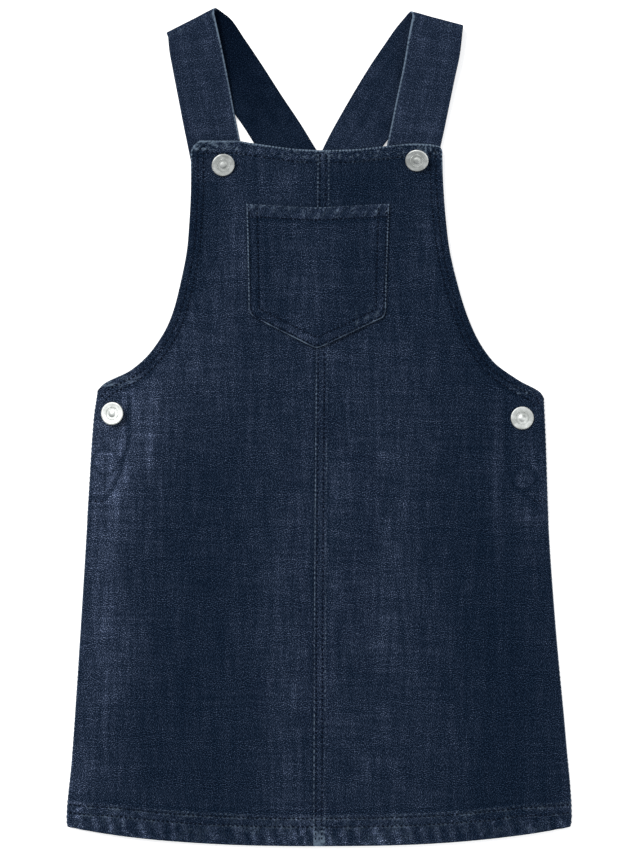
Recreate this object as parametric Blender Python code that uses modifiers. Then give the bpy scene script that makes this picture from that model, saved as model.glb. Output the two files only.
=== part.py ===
"""A small child's denim pinafore dress, laid flat on its back with the front up.

+X is the wearer's left, +Y runs from the hem to the straps, and +Z rises from the surface
that the dress lies on. The origin is under the middle of the dress, on that surface.
Tables and sizes are in millimetres, and become metres where a mesh is made.
"""

from collections import namedtuple
import math

import bmesh
import bpy
from mathutils import Vector
import numpy as np

MM = 0.001

# ---- cloth -------------------------------------------------------------------------------
CLOTH = 1.2  # one wall of denim
STRAP_WALL = 1.5  # a strap is denim folded double
GAP = 0.3  # what is left between pieces where they are sewn or lie on each other
BACK_TOP = CLOTH  # the back lies on the surface, so its upper face is this high
SIDE_SEAM_HEIGHT = BACK_TOP + GAP + CLOTH  # outer face of the front where it is sewn to the back
STAND_TOP = BACK_TOP + GAP + CLOTH  # upper face of the underlap that carries a side button

# ---- outline -----------------------------------------------------------------------------
# Half widths of the front at a height y. Right and left are the wearer's, and the two sides
# differ by a few millimetres, as a laid garment does.
Edge = namedtuple("Edge", "y x")
SIDES = {
    "right": [Edge(-288, 181.6), Edge(-283, 182.2), Edge(-240, 178.6), Edge(-110, 169.9),
              Edge(-50, 166.3), Edge(5, 162.7), Edge(26, 159.8)],
    "left": [Edge(-288, 181.6), Edge(-281, 182.4), Edge(-225, 178.3), Edge(-140, 170.5),
             Edge(-68, 165.6), Edge(-9, 163.6), Edge(20, 162.3)],
}
ARMHOLES = {
    "right": [Edge(26, 159.8), Edge(31, 155.0), Edge(41, 135.4), Edge(55, 120.4), Edge(77, 107.3),
              Edge(99, 100.8), Edge(135, 94.3), Edge(178, 92.2), Edge(197, 92.4), Edge(202.3, 90.4),
              Edge(206.2, 85.7)],
    "left": [Edge(20, 162.3), Edge(24.5, 159.8), Edge(34, 143.3), Edge(48, 124.7), Edge(70, 110.9),
             Edge(99, 100.8), Edge(135, 92.9), Edge(178, 89.3), Edge(199, 88.6), Edge(202.3, 86.5)],
}
# Height of the bib's top edge at a distance x from the middle.
BIB_TOPS = {
    "right": [Edge(199.1, 0), Edge(199.8, 14), Edge(201.8, 31), Edge(204.5, 49), Edge(206.2, 61),
              Edge(206.2, 85.7)],
    "left": [Edge(199.1, 0), Edge(199.6, 22), Edge(201.8, 45), Edge(204.0, 68), Edge(203.6, 80),
             Edge(202.3, 86.5)],
}
HEM_MIDDLE, HEM_LIFT, HEM_POWER, HEM_HALF = -301.9, 13.7, 2.5, 181.6  # the hem curves up to its corners
SEAM_TOP_X, SEAM_FOOT_X = -0.5, -3.6  # the centre front seam runs a little askew
BACK_INSET = 0.8  # the back keeps this far inside the front's outline
BACK_ARMHOLE = [Edge(24, 160.0), Edge(32, 146), Edge(42, 122), Edge(56, 101), Edge(85, 74), Edge(120, 54),
                Edge(150, 44)]

# ---- bands and bib -----------------------------------------------------------------------
HEM_BAND, EDGE_BAND, TOP_BAND = 23.0, 9.5, 9.5  # widths of the turned hems
SEAM_BAND = 9.0  # both allowances of the centre seam are pressed to the wearer's left
HEM_RAISE, EDGE_RAISE, SEAM_RAISE = 0.6, 0.4, 0.6  # what the layers inside a hem lift the cloth by
STEP = 1.5  # a band's side slopes over this width
BODY_LIFT, BODY_REACH = 1.6, 36.0  # the skirt rises from its side seams by this, over this reach
BIB_HEIGHT, BIB_TOP_HEIGHT = 3.5, 5.0  # outer face of the bib, and at its top edge over the straps
CROSSING = dict(x=0.0, y=161.0, reach_x=58.0, reach_y=72.0, height=6.6)  # the bib over the crossed straps

# Soft folds of the front: middle, lean from +Y towards -X in degrees, half lengths, and rise.
Fold = namedtuple("Fold", "x y lean along across rise")
FOLDS = [
    Fold(-136, -175, -3, 110, 24, 1.5),
    Fold(-122, -20, 12, 55, 17, 1.2),
    Fold(-96, 66, 24, 45, 13, 1.0),
    Fold(-66, -170, -2, 95, 22, -0.9),
    Fold(-22, -150, 0, 110, 14, 0.9),
    Fold(58, -120, 2, 125, 26, 1.4),
    Fold(128, -130, -5, 105, 20, -0.8),
    Fold(158, -190, 3, 70, 11, 0.7),
    Fold(70, 60, 14, 45, 18, 0.7),
    Fold(-148, -30, 60, 12, 6, 0.6),
    Fold(150, -42, -50, 12, 6, 0.6),
]

# ---- pocket ------------------------------------------------------------------------------
# One row for each height, from the point up: the left and right edge, and how much the row's
# middle lies above (+) or below (-) its ends.
PocketRow = namedtuple("PocketRow", "y from_x to_x middle")
POCKET = [
    PocketRow(78.6, -46.4, 45.8, -22.6),
    PocketRow(81.5, -49.3, 47.6, -19.0),
    PocketRow(86.0, -50.7, 48.2, -12.0),
    PocketRow(100, -50.9, 48.5, -6.0),
    PocketRow(118, -51.2, 49.0, -3.0),
    PocketRow(136, -51.5, 49.6, -2.5),
    PocketRow(149.5, -51.9, 50.1, -2.7),
    PocketRow(151.5, -51.9, 50.2, -2.8),
    PocketRow(160.5, -52.2, 50.4, -2.9),
]
POCKET_HEM = 10.0

# ---- straps ------------------------------------------------------------------------------
# A strap's cross-sections from its tail behind the bib, up, over the fold and down the back:
# its outer and inner edge, and the height of the middle of its wall.
Section = namedtuple("Section", "outer_x outer_y inner_x inner_y height")
ON_FLOOR = STRAP_WALL / 2
ON_BACK = BACK_TOP + GAP + STRAP_WALL / 2
ON_STRAP = ON_BACK + STRAP_WALL + GAP
FOLD_TOP = 7.5  # height of the front stretch where it starts to fold over
ROLL_STEPS = 6

STRAP_RIGHT = dict(
    front=[
        Section(-87.0, 162, -49.8, 169, ON_FLOOR),
        Section(-91.0, 184, -53.9, 191, ON_FLOOR),
        Section(-95.2, 205, -58.0, 212, 1.0),
        Section(-97.8, 218, -60.6, 225, 2.8),
        Section(-101.6, 238, -64.3, 245, 4.2),
        Section(-105.4, 258, -68.2, 265, 5.7),
        Section(-107.7, 271, -71.6, 281, 6.9),
        Section(-108.5, 280.1, -75.3, 297.3, FOLD_TOP),
    ],
    back=[
        Section(-107.7, 280.5, -70.1, 299.5, ON_FLOOR),
        Section(-97.5, 268, -63.9, 294.6, ON_FLOOR),
        Section(-83.5, 253.5, -54.4, 281.0, ON_FLOOR),
        Section(-69.8, 237, -41.5, 261.8, ON_FLOOR),
        Section(-56.5, 219.6, -27.4, 239.8, ON_FLOOR),
        Section(-43.2, 198.6, -13.0, 218.2, ON_FLOOR),
        Section(-30.9, 178.6, -0.7, 198.0, 1.6),
        Section(-19.0, 160.0, 11.4, 179.5, ON_BACK),
        Section(-7.0, 141.6, 23.2, 161.0, ON_BACK),
        Section(5.0, 123.0, 35.2, 142.5, ON_BACK),
    ],
    fold_turn=26.6,
)
STRAP_LEFT = dict(
    front=[
        Section(79.6, 163, 42.6, 170.5, ON_FLOOR),
        Section(85.5, 192, 48.1, 199.5, ON_FLOOR),
        Section(87.8, 203, 50.4, 210.4, 3.0),
        Section(89.9, 212.5, 52.4, 220, 3.4),
        Section(93.5, 230, 55.9, 237.5, 4.1),
        Section(98.0, 252, 60.6, 259.5, 5.6),
        Section(101.5, 269, 64.3, 281, 6.8),
        Section(103.3, 285.3, 67.1, 295.0, FOLD_TOP),
    ],
    back=[
        Section(102.3, 285.5, 62.5, 296.2, ON_FLOOR),
        Section(90.0, 268.5, 55.5, 287.8, ON_FLOOR),
        Section(79.0, 254.0, 47.0, 275.6, ON_FLOOR),
        Section(68.0, 240.5, 37.4, 261.4, ON_FLOOR),
        Section(54.5, 214.3, 21.6, 235.4, ON_FLOOR),
        Section(38.7, 192.0, 7.2, 209.5, 2.4),
        Section(32.6, 180.3, 1.2, 197.2, ON_STRAP),
        Section(21.6, 160.0, -9.7, 177.2, ON_STRAP),
        Section(10.6, 139.8, -20.6, 157.3, ON_STRAP),
        Section(2.1, 124.0, -29.2, 141.5, ON_STRAP),
        Section(-8.0, 105.6, -39.2, 123.4, ON_BACK),
    ],
    fold_turn=-15.0,
)

# ---- buttons and their stands ------------------------------------------------------------
CAP_RADIUS, NECK_RADIUS, HOLE_RADIUS = 8.5, 3.0, 4.0
# Half of a tack button's section, from the middle of its stud out over the rim and down the neck.
# Height 0 is the underside of the cap.
Turn = namedtuple("Turn", "radius height")
CAP = [Turn(0, 2.2), Turn(1.5, 2.05), Turn(2.5, 1.5), Turn(3.0, 1.0), Turn(5.9, 1.1), Turn(7.0, 1.75),
       Turn(7.8, 1.9), Turn(CAP_RADIUS, 1.2), Turn(8.3, 0.4), Turn(7.6, 0.0), Turn(NECK_RADIUS, 0.0)]
# Middle of the cap, how far it leans, and which way, in degrees from +X.
Button = namedtuple("Button", "name x y lean towards rests_at")
BUTTONS = [
    Button("bib_button_right", -69.8, 188.6, 21, -62, STRAP_WALL),
    Button("bib_button_left", 70.9, 192.2, 21, -98, STRAP_WALL),
    Button("side_button_right", -149.0, 10.1, 15, 180, STAND_TOP),
    Button("side_button_left", 146.2, 7.2, 0, 0, STAND_TOP),
]
PLACKET_FOOT, PLACKET_WIDTH = -58.0, 33.0  # the side opening below the armhole, and its underlap
STAND_INSET, STAND_HEAD = 1.6, 21.0

TURNS = 28  # sides of a round piece

# Base colour (linear), roughness and metallic value.
Finish = namedtuple("Finish", "color roughness metallic")
DENIM = Finish((0.016, 0.026, 0.050), 0.9, 0.0)
DENIM_STRAP = Finish((0.020, 0.031, 0.054), 0.9, 0.0)
BUTTON_METAL = Finish((0.62, 0.63, 0.60), 0.35, 0.9)


# ---- shapes ------------------------------------------------------------------------------
def smooth(t):
    """0 below 0, 1 above 1, and a soft step between."""
    t = np.clip(t, 0.0, 1.0)
    return t * t * (3.0 - 2.0 * t)


def through(knots, values, at):
    """A smooth curve through the values at rising knots that never overshoots them."""
    knots, values, at = (np.asarray(each, float) for each in (knots, values, at))
    width = np.diff(knots)
    slope = np.diff(values) / width
    before, after = slope[:-1], slope[1:]
    turning = before * after <= 0
    total = np.where(turning, 1.0, before + after)
    inner = np.where(turning, 0.0, 2.0 * before * after / total)
    tangent = np.concatenate([slope[:1], inner, slope[-1:]])
    i = np.clip(np.searchsorted(knots, at) - 1, 0, len(width) - 1)
    t = np.clip((at - knots[i]) / width[i], 0.0, 1.0)
    start = values[i] + t * width[i] * tangent[i] * (1 - t) ** 2
    rest = (values[i + 1] - values[i]) * smooth(t)
    return start + rest - (1 - t) * t**2 * width[i] * tangent[i + 1]


def edge_x(side, y):
    """Half width of the front at this height."""
    seam, hole = SIDES[side], ARMHOLES[side]
    below = through([e.y for e in seam], [e.x for e in seam], y)
    above = through([e.y for e in hole], [e.x for e in hole], y)
    return np.where(np.asarray(y) < hole[0].y, below, above)


def hem_y(x):
    return HEM_MIDDLE + HEM_LIFT * (np.abs(x) / HEM_HALF) ** HEM_POWER


def bib_top_y(side, x):
    table = BIB_TOPS[side]
    return through([e.x for e in table], [e.y for e in table], np.abs(x))


def seam_x(y):
    """Where the centre front seam runs."""
    return np.interp(y, [HEM_MIDDLE, BIB_TOPS["left"][0].y], [SEAM_FOOT_X, SEAM_TOP_X])


def fold_rise(x, y):
    """What the soft folds add to the front's height."""
    rise = 0.0
    for fold in FOLDS:
        lean = math.radians(fold.lean)
        dx, dy = x - fold.x, y - fold.y
        along = dy * math.cos(lean) - dx * math.sin(lean)
        across = dx * math.cos(lean) + dy * math.sin(lean)
        rise = rise + fold.rise * np.exp(-0.5 * ((along / fold.along) ** 2 + (across / fold.across) ** 2))
    return rise


def ground_height(x, y):
    """Height of the front's outer face over what it lies on, before its hems and seams."""
    x, y = np.asarray(x, float), np.asarray(y, float)
    inset = np.where(x < 0, edge_x("right", y), edge_x("left", y)) - np.abs(x)
    seamed = SIDE_SEAM_HEIGHT + BODY_LIFT * smooth(inset / BODY_REACH)
    over_stand = STAND_TOP + GAP + CLOTH + 0.2
    placket = smooth((y - PLACKET_FOOT + 14) / 10) * smooth((PLACKET_WIDTH + 14 - inset) / 12)
    bib = BIB_HEIGHT + (BIB_TOP_HEIGHT - BIB_HEIGHT) * smooth((y - 160) / 36)
    height = seamed + (bib - seamed) * smooth((y - 34) / 40)
    height = height + fold_rise(x, y) * smooth(inset / 16)
    height = np.maximum(height, height + (over_stand - height) * placket)
    away = np.hypot((x - CROSSING["x"]) / CROSSING["reach_x"], (y - CROSSING["y"]) / CROSSING["reach_y"])
    return height + (CROSSING["height"] - height) * smooth(1.5 - away)


def front_height(side, x, y):
    """Height of the front's outer face, with what its hems and the centre seam add."""
    inset = edge_x(side, y) - np.abs(x)
    hem = smooth((hem_y(x) + HEM_BAND - y) / STEP + 0.5) * HEM_RAISE
    beside = smooth((EDGE_BAND - inset) / STEP + 0.5) * EDGE_RAISE * smooth((y - ARMHOLES[side][0].y) / 6)
    top = smooth((y - bib_top_y(side, x) + TOP_BAND) / STEP + 0.5) * EDGE_RAISE
    seam = smooth((SEAM_BAND - (x - seam_x(y))) / STEP + 0.5) * SEAM_RAISE if side == "left" else 0.0
    return ground_height(x, y) + np.maximum(np.maximum(hem, np.maximum(beside, top)), seam)


# ---- making meshes -----------------------------------------------------------------------
def clear_scene():
    for obj in list(bpy.data.objects):
        bpy.data.objects.remove(obj, do_unlink=True)


def new_collection(name):
    collection = bpy.data.collections.new(name)
    bpy.context.scene.collection.children.link(collection)
    return collection


def new_material(name, finish):
    material = bpy.data.materials.new(name)
    material.use_nodes = True
    shader = material.node_tree.nodes["Principled BSDF"]
    shader.inputs["Base Color"].default_value = (*finish.color, 1.0)
    shader.inputs["Roughness"].default_value = finish.roughness
    shader.inputs["Metallic"].default_value = finish.metallic
    return material


def new_object(name, bm, collection, material=None):
    mesh = bpy.data.meshes.new(name)
    bm.to_mesh(mesh)
    bm.free()
    if material:
        mesh.materials.append(material)
    obj = bpy.data.objects.new(name, mesh)
    collection.objects.link(obj)
    return obj


def cloth(name, points, collection, material, wall=CLOTH, offset=-1.0):
    """A cloth wall through a grid of points (rows upwards, columns towards +X), in millimetres.

    With offset -1 the points are the outer face, and with 0 they are the middle of the wall."""
    rows, columns = points.shape[:2]
    bm = bmesh.new()
    bmesh.ops.create_grid(bm, x_segments=columns - 1, y_segments=rows - 1, size=1)
    in_order = sorted(bm.verts, key=lambda vert: (round(vert.co.y, 5), round(vert.co.x, 5)))
    for vert, point in zip(in_order, points.reshape(-1, 3)):
        vert.co = Vector(point) * MM
    obj = new_object(name, bm, collection, material)
    solidify = obj.modifiers.new("wall", "SOLIDIFY")
    solidify.thickness = wall * MM
    solidify.offset = offset
    return obj


def drill(obj, name, x, y, cutters):
    """A round hole straight down through a cloth wall, for the neck of a button."""
    bm = bmesh.new()
    bmesh.ops.create_cone(bm, segments=TURNS, cap_ends=True, radius1=HOLE_RADIUS * MM,
                          radius2=HOLE_RADIUS * MM, depth=40 * MM)
    cutter = new_object(name, bm, cutters)
    cutter.location = (x * MM, y * MM, 0)
    cutter.hide_render = True
    cutter.display_type = "WIRE"
    cut = obj.modifiers.new(name, "BOOLEAN")
    cut.operation = "DIFFERENCE"
    cut.object = cutter


# ---- the pieces --------------------------------------------------------------------------
def stretch(start, stop, step):
    """Even places from start to stop, about a step apart, both ends included."""
    return list(np.linspace(start, stop, max(1, round(abs(stop - start) / step)) + 1))


def front_levels(side):
    """Heights of the front's rows, closer together at the hem, the underarm and the bib's top."""
    underarm, top = ARMHOLES[side][0].y, ARMHOLES[side][-1].y
    hem = [-288, -284, -280, -288 + HEM_BAND - 1, -288 + HEM_BAND + 1]
    skirt = stretch(-255, PLACKET_FOOT - 14, 19) + stretch(PLACKET_FOOT - 4, underarm - 6, 12)
    armhole = [underarm, underarm + 3, underarm + 6] + stretch(underarm + 11, underarm + 32, 5)
    bib = stretch(underarm + 40, top - 16, 12)
    return hem + skirt + armhole + bib + [top - 10.5, top - 8.8, top - 5, top - 2, top]


def front_panel(side, collection, material):
    """Half of the front, from the centre seam out to the side seam and the armhole."""
    sign = -1 if side == "right" else 1
    near_seam = [GAP / 2, 2.5, SEAM_BAND - 0.8, SEAM_BAND + 0.8]
    near_edge = [24.0, EDGE_BAND + 0.8, EDGE_BAND - 0.8, 4.0, 1.2, 0.0]
    rows = []
    for level in front_levels(side):
        seam, edge = seam_x(level), float(edge_x(side, level))
        width = edge - sign * seam
        middle = np.linspace(near_seam[-1], width - near_edge[0], 8)[1:-1]
        across = near_seam + list(middle) + [width - inset for inset in near_edge]
        x = seam + sign * np.array(across)
        hem_share = smooth((-150.0 - level) / 138.0)
        top_share = np.clip((level - 120.0) / (ARMHOLES[side][-1].y - 120.0), 0, 1)
        y = level + (hem_y(x) - hem_y(HEM_HALF)) * hem_share
        y = y + (bib_top_y(side, x) - ARMHOLES[side][-1].y) * top_share
        row = np.stack([x, y, front_height(side, x, y)], axis=1)
        rows.append(row[::sign])
    return cloth(f"front_{side}", np.array(rows), collection, material)


def back_panel(collection, material):
    """The whole back in one piece, flat on the surface, with its own deeper armholes."""
    levels = [-288, -278] + stretch(-262, 12, 22) + [24, 28, 32, 37, 42, 49, 56, 66] + stretch(78, 150, 12)
    shares = np.linspace(-1, 1, 15)
    rows = []
    for level in levels:
        if level < BACK_ARMHOLE[0].y:
            right, left = edge_x("right", level) - BACK_INSET, edge_x("left", level) - BACK_INSET
        else:
            right = left = through([e.y for e in BACK_ARMHOLE], [e.x for e in BACK_ARMHOLE], level)
            right = min(right, float(edge_x("right", level)) - BACK_INSET)
            left = min(left, float(edge_x("left", level)) - BACK_INSET)
        x = np.where(shares < 0, shares * right, shares * left)
        hem_share = smooth((-150.0 - level) / 138.0)
        y = level + BACK_INSET * hem_share + (hem_y(x) - hem_y(HEM_HALF)) * hem_share
        rows.append(np.stack([x, y, np.full_like(x, BACK_TOP)], axis=1))
    return cloth("back_panel", np.array(rows), collection, material)


def pocket(collection, material):
    """The patch pocket, made from the front's own heights moved out by a gap and a wall."""
    shares = np.array([0, 0.04, 0.16, 0.3, 0.42, 0.49, 0.56, 0.62, 0.74, 0.87, 0.96, 1])
    rows = []
    for row in POCKET:
        x = row.from_x + (row.to_x - row.from_x) * shares
        peak = 1 - np.abs(shares - 0.485) / 0.515
        y = row.y + row.middle * peak
        over_seam = SEAM_RAISE * smooth((30 - np.abs(x - seam_x(y) - SEAM_BAND / 2)) / 16)
        hem = EDGE_RAISE * smooth((row.y - POCKET[-1].y + POCKET_HEM) / STEP + 0.5)
        z = ground_height(x, y) + over_seam + GAP + CLOTH + 0.1 + hem
        rows.append(np.stack([x, y, z], axis=1))
    return cloth("pocket", np.array(rows), collection, material)


def button_stand(side, collection, material):
    """The back's underlap at a side opening: the strip that a side button is fixed to."""
    sign = -1 if side == "right" else 1
    rows = []
    for y in stretch(PLACKET_FOOT, STAND_HEAD - 4, 13) + [STAND_HEAD]:
        outer = float(edge_x(side, min(y, ARMHOLES[side][0].y - 1))) - STAND_INSET
        inner = float(edge_x(side, PLACKET_FOOT)) - PLACKET_WIDTH
        x = sign * np.linspace(inner, outer, 5)
        rows.append(np.stack([x, np.full_like(x, y), np.full_like(x, STAND_TOP)], axis=1)[::sign])
    return cloth(f"button_stand_{side}", np.array(rows), collection, material)


def folded_sections(strap):
    """The strap's sections with the ones that carry it round its fold worked out between them."""
    above, below = strap["front"][-1], strap["back"][0]
    radius = (above.height - below.height) / 2
    middle = (above.height + below.height) / 2
    turn = math.radians(strap["fold_turn"])
    facing = np.array([-math.sin(turn), math.cos(turn)] * 2)
    start, stop = np.array(above[:4]), np.array(below[:4])
    sections = [Section(*each) for each in strap["front"]]
    for i in range(1, ROLL_STEPS):
        share = i / ROLL_STEPS
        reach = radius * math.sin(math.pi * share)
        place = start + (stop - start) * share + facing * reach
        sections.append(Section(*place, middle + radius * math.cos(math.pi * share)))
    return sections + strap["back"]


def strap(name, shape, collection, material):
    """A broad strap: a tail behind the bib, a fold at the shoulder, and a stretch to the back."""
    shares = np.linspace(0, 1, 5)[:, None]
    rows = []
    for section in folded_sections(shape):
        outer = np.array([section.outer_x, section.outer_y, section.height])
        inner = np.array([section.inner_x, section.inner_y, section.height])
        rows.append(outer + (inner - outer) * shares)
    return cloth(name, np.array(rows), collection, material, wall=STRAP_WALL, offset=0.0)


def button_side(button):
    return "right" if button.x < 0 else "left"


def button_place(button):
    """The neck's direction, and the middle of the cap's underside once the cap clears the cloth."""
    lean, towards = math.radians(button.lean), math.radians(button.towards)
    up = np.array([math.sin(lean) * math.cos(towards), math.sin(lean) * math.sin(towards), math.cos(lean)])
    around, out = np.meshgrid(np.linspace(0, 2 * math.pi, 17), np.linspace(0, CAP_RADIUS, 4))
    x, y = button.x + out * np.cos(around), button.y + out * np.sin(around)
    highest = float(np.max(front_height(button_side(button), x, y)))
    dip = max(turn.radius * math.sin(lean) - turn.height * math.cos(lean) for turn in CAP)
    return up, np.array([button.x, button.y, highest + GAP + dip])


def neck_length(button):
    """The neck ends a gap above what it is riveted to."""
    up, place = button_place(button)
    room = place[2] - button.rests_at - GAP - NECK_RADIUS * math.sin(math.radians(button.lean))
    return room / up[2]


def neck_in_cloth(button):
    """Where the leaning neck passes through the middle of the front's wall."""
    up, place = button_place(button)
    wall = float(front_height(button_side(button), button.x, button.y)) - CLOTH / 2
    return place - up * (place[2] - wall) / up[2]


def tack_button(button, collection, material):
    """A turned tack button: a shallow dish with a stud, and the neck under it."""
    up, place = button_place(button)
    length = neck_length(button)
    profile = CAP + [Turn(NECK_RADIUS, -length), Turn(0, -length)]
    bm = bmesh.new()
    verts = [bm.verts.new((turn.radius * MM, 0, turn.height * MM)) for turn in profile]
    for first, second in zip(verts, verts[1:]):
        bm.edges.new((first, second))
    obj = new_object(button.name, bm, collection, material)
    screw = obj.modifiers.new("turn", "SCREW")
    screw.steps = screw.render_steps = TURNS
    screw.use_merge_vertices = True
    screw.merge_threshold = 0.00001
    obj.location = Vector(place) * MM
    obj.rotation_mode = "QUATERNION"
    obj.rotation_quaternion = Vector((0, 0, 1)).rotation_difference(Vector(up))
    return obj


def build():
    clear_scene()
    dress = new_collection("denim_pinafore_dress")
    cutters = new_collection("cutters")
    denim = new_material("denim", DENIM)
    strap_denim = new_material("strap_denim", DENIM_STRAP)
    metal = new_material("button_metal", BUTTON_METAL)

    back_panel(dress, denim)
    fronts = {side: front_panel(side, dress, denim) for side in ("right", "left")}
    pocket(dress, denim)
    for side in ("right", "left"):
        button_stand(side, dress, denim)
    strap("strap_right", STRAP_RIGHT, dress, strap_denim)
    strap("strap_left", STRAP_LEFT, dress, strap_denim)
    for button in BUTTONS:
        tack_button(button, dress, metal)
        x, y, _ = neck_in_cloth(button)
        drill(fronts[button_side(button)], f"hole_{button.name}", x, y, cutters)


build()
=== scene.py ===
# %% [markdown]
# # A small child's denim pinafore dress, laid flat
#
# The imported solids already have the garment's cut: two front halves, a back, a patch pocket,
# two button stands, two straps and four tack buttons. This lesson dresses them. Each solid is
# replaced by a finer cloth shell of the same cut, with its hems, felled seam, puckers, folds and
# wear, and by stitches and turned buttons. Tables and sizes are in millimetres, as a pattern
# cutter works, and become metres where a mesh is made. +X is the wearer's left, +Y runs from the
# hem to the straps, and +Z rises from the table.

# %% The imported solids
from collections import namedtuple
from functools import partial
import math

import bmesh
import bpy
from mathutils import Matrix, Vector
from mathutils.kdtree import KDTree
import numpy as np


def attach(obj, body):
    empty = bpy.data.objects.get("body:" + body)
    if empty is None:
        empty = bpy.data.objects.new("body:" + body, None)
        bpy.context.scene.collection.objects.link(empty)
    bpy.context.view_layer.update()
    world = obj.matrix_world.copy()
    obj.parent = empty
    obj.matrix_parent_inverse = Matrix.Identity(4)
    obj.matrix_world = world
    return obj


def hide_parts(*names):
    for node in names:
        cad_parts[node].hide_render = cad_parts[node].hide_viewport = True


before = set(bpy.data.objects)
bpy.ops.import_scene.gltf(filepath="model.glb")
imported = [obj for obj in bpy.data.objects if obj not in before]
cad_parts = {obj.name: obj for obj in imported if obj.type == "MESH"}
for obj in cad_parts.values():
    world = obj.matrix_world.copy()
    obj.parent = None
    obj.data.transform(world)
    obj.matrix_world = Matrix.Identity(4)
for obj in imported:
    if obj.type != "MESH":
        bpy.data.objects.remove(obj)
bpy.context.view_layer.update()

MM = 0.001
print("solids to dress:", sorted(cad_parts))

# %% [markdown]
# ## The camera, the light and the table
#
# A flat garment is seen from straight above. The camera could be orthographic, but a long lens
# high over the table is what a studio uses, and it keeps the slight perspective of the thick
# hems. The light is one broad soft source from the upper left, low enough to model the folds,
# with a weaker one opposite and an even pale surround.

# %% The camera
LENS, SENSOR = 100.0, 36.0
VIEW_HEIGHT = 0.6142  # how much of the table the long side of the frame takes in, in metres
FRAME_MIDDLE = (0.0007, 0.0004)
CLOTH_MIDDLE = 0.004


def linked(name, data):
    """A new object with this data, in the scene."""
    obj = bpy.data.objects.new(name, data)
    bpy.context.scene.collection.objects.link(obj)
    return obj


camera_data = bpy.data.cameras.new("overhead")
camera_data.lens, camera_data.sensor_width = LENS, SENSOR
camera = linked("overhead", camera_data)
camera.location = (*FRAME_MIDDLE, CLOTH_MIDDLE + VIEW_HEIGHT * LENS / SENSOR)
bpy.context.scene.camera = camera
bpy.context.scene.view_settings.view_transform = "Standard"
print(f"camera {camera.location.z:.3f} m above the table")


# %% Light and surround
def soft_light(name, place, size, watts):
    """A square studio light that faces the dress."""
    data = bpy.data.lights.new(name, "AREA")
    data.size, data.energy = size, watts
    light = linked(name, data)
    light.location = place
    light.rotation_euler = (-Vector(place)).to_track_quat("-Z", "Y").to_euler()


def feed(tree, node, inputs):
    """Links each of a node's inputs to a socket, or sets it to a value."""
    for key, value in inputs.items():
        if isinstance(value, bpy.types.NodeSocket):
            tree.links.new(value, node.inputs[key])
        else:
            node.inputs[key].default_value = value


soft_light("key", (-2.0, 2.0, 3.0), 1.6, 145)
soft_light("fill", (2.6, -0.5, 2.8), 2.4, 40)

surround = bpy.data.worlds.new("pale surround")
bpy.context.scene.world = surround
surround.use_nodes = True
feed(surround.node_tree, surround.node_tree.nodes["Background"],
     {"Color": (0.95, 0.97, 1.0, 1.0), "Strength": 0.43})
print("lights:", [light.name for light in bpy.data.lights])

# %% The table
TABLE_REACH = 4.0
TABLE_DROP = -0.0003  # a hair below the cloth, so that the two never share a plane
WHITE_PAPER = {"Base Color": (0.93, 0.93, 0.93, 1.0), "Roughness": 0.9, "Emission Color": (1.0, 1.0, 1.0, 1.0),
               "Emission Strength": 0.5}


def new_material(name):
    """A material, its node tree and its shader."""
    material = bpy.data.materials.new(name)
    material.use_nodes = True
    return material, material.node_tree, material.node_tree.nodes["Principled BSDF"]


table_mesh = bpy.data.meshes.new("table")
corners = [(TABLE_REACH * x, TABLE_REACH * y, TABLE_DROP) for x, y in ((-1, -1), (1, -1), (1, 1), (-1, 1))]
table_mesh.from_pydata(corners, [], [(0, 1, 2, 3)])
table = linked("table", table_mesh)
table_paper, paper_tree, paper = new_material("table_paper")
feed(paper_tree, paper, WHITE_PAPER)
table_mesh.materials.append(table_paper)
print(f"table {2 * TABLE_REACH:.0f} m wide")

# %% [markdown]
# ## Curves and soft steps
#
# Cloth has few straight lines, so its outlines are kept as short tables and read through a
# smooth curve that never overshoots them. Four small functions do the rest: a soft step, a
# band that ends at a given distance, a narrow line at a given distance, and the sum of such
# lines along rows of stitches. Another gives uneven hills, because real cloth never repeats
# itself.

# %% Curves, steps, lines and unevenness
def smooth(t):
    """0 below 0, 1 above 1, and a soft step between."""
    t = np.clip(t, 0.0, 1.0)
    return t * t * (3.0 - 2.0 * t)


def band(distance, width, soft=1.2):
    """1 nearer than this width, 0 beyond it."""
    return smooth((width - distance) / soft + 0.5)


def line(distance, at, width):
    """A soft line of this half width, 1 along its middle."""
    return np.exp(-(((distance - at) / width) ** 2))


def lines(distance, rows, width=0.8):
    """Soft lines along rows of stitches."""
    return sum(line(distance, row, width) for row in rows)


def through(knots, values, at):
    """A smooth curve through the values at rising knots that never overshoots them."""
    knots, values, at = (np.asarray(each, float) for each in (knots, values, at))
    width = np.diff(knots)
    slope = np.diff(values) / width
    before, after = slope[:-1], slope[1:]
    turning = before * after <= 0
    total = np.where(turning, 1.0, before + after)
    inner = np.where(turning, 0.0, 2.0 * before * after / total)
    tangent = np.concatenate([slope[:1], inner, slope[-1:]])
    i = np.clip(np.searchsorted(knots, at) - 1, 0, len(width) - 1)
    t = np.clip((at - knots[i]) / width[i], 0.0, 1.0)
    start = values[i] + t * width[i] * tangent[i] * (1 - t) ** 2
    rest = (values[i + 1] - values[i]) * smooth(t)
    return start + rest - (1 - t) * t**2 * width[i] * tangent[i + 1]


LATTICE = 256


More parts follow.
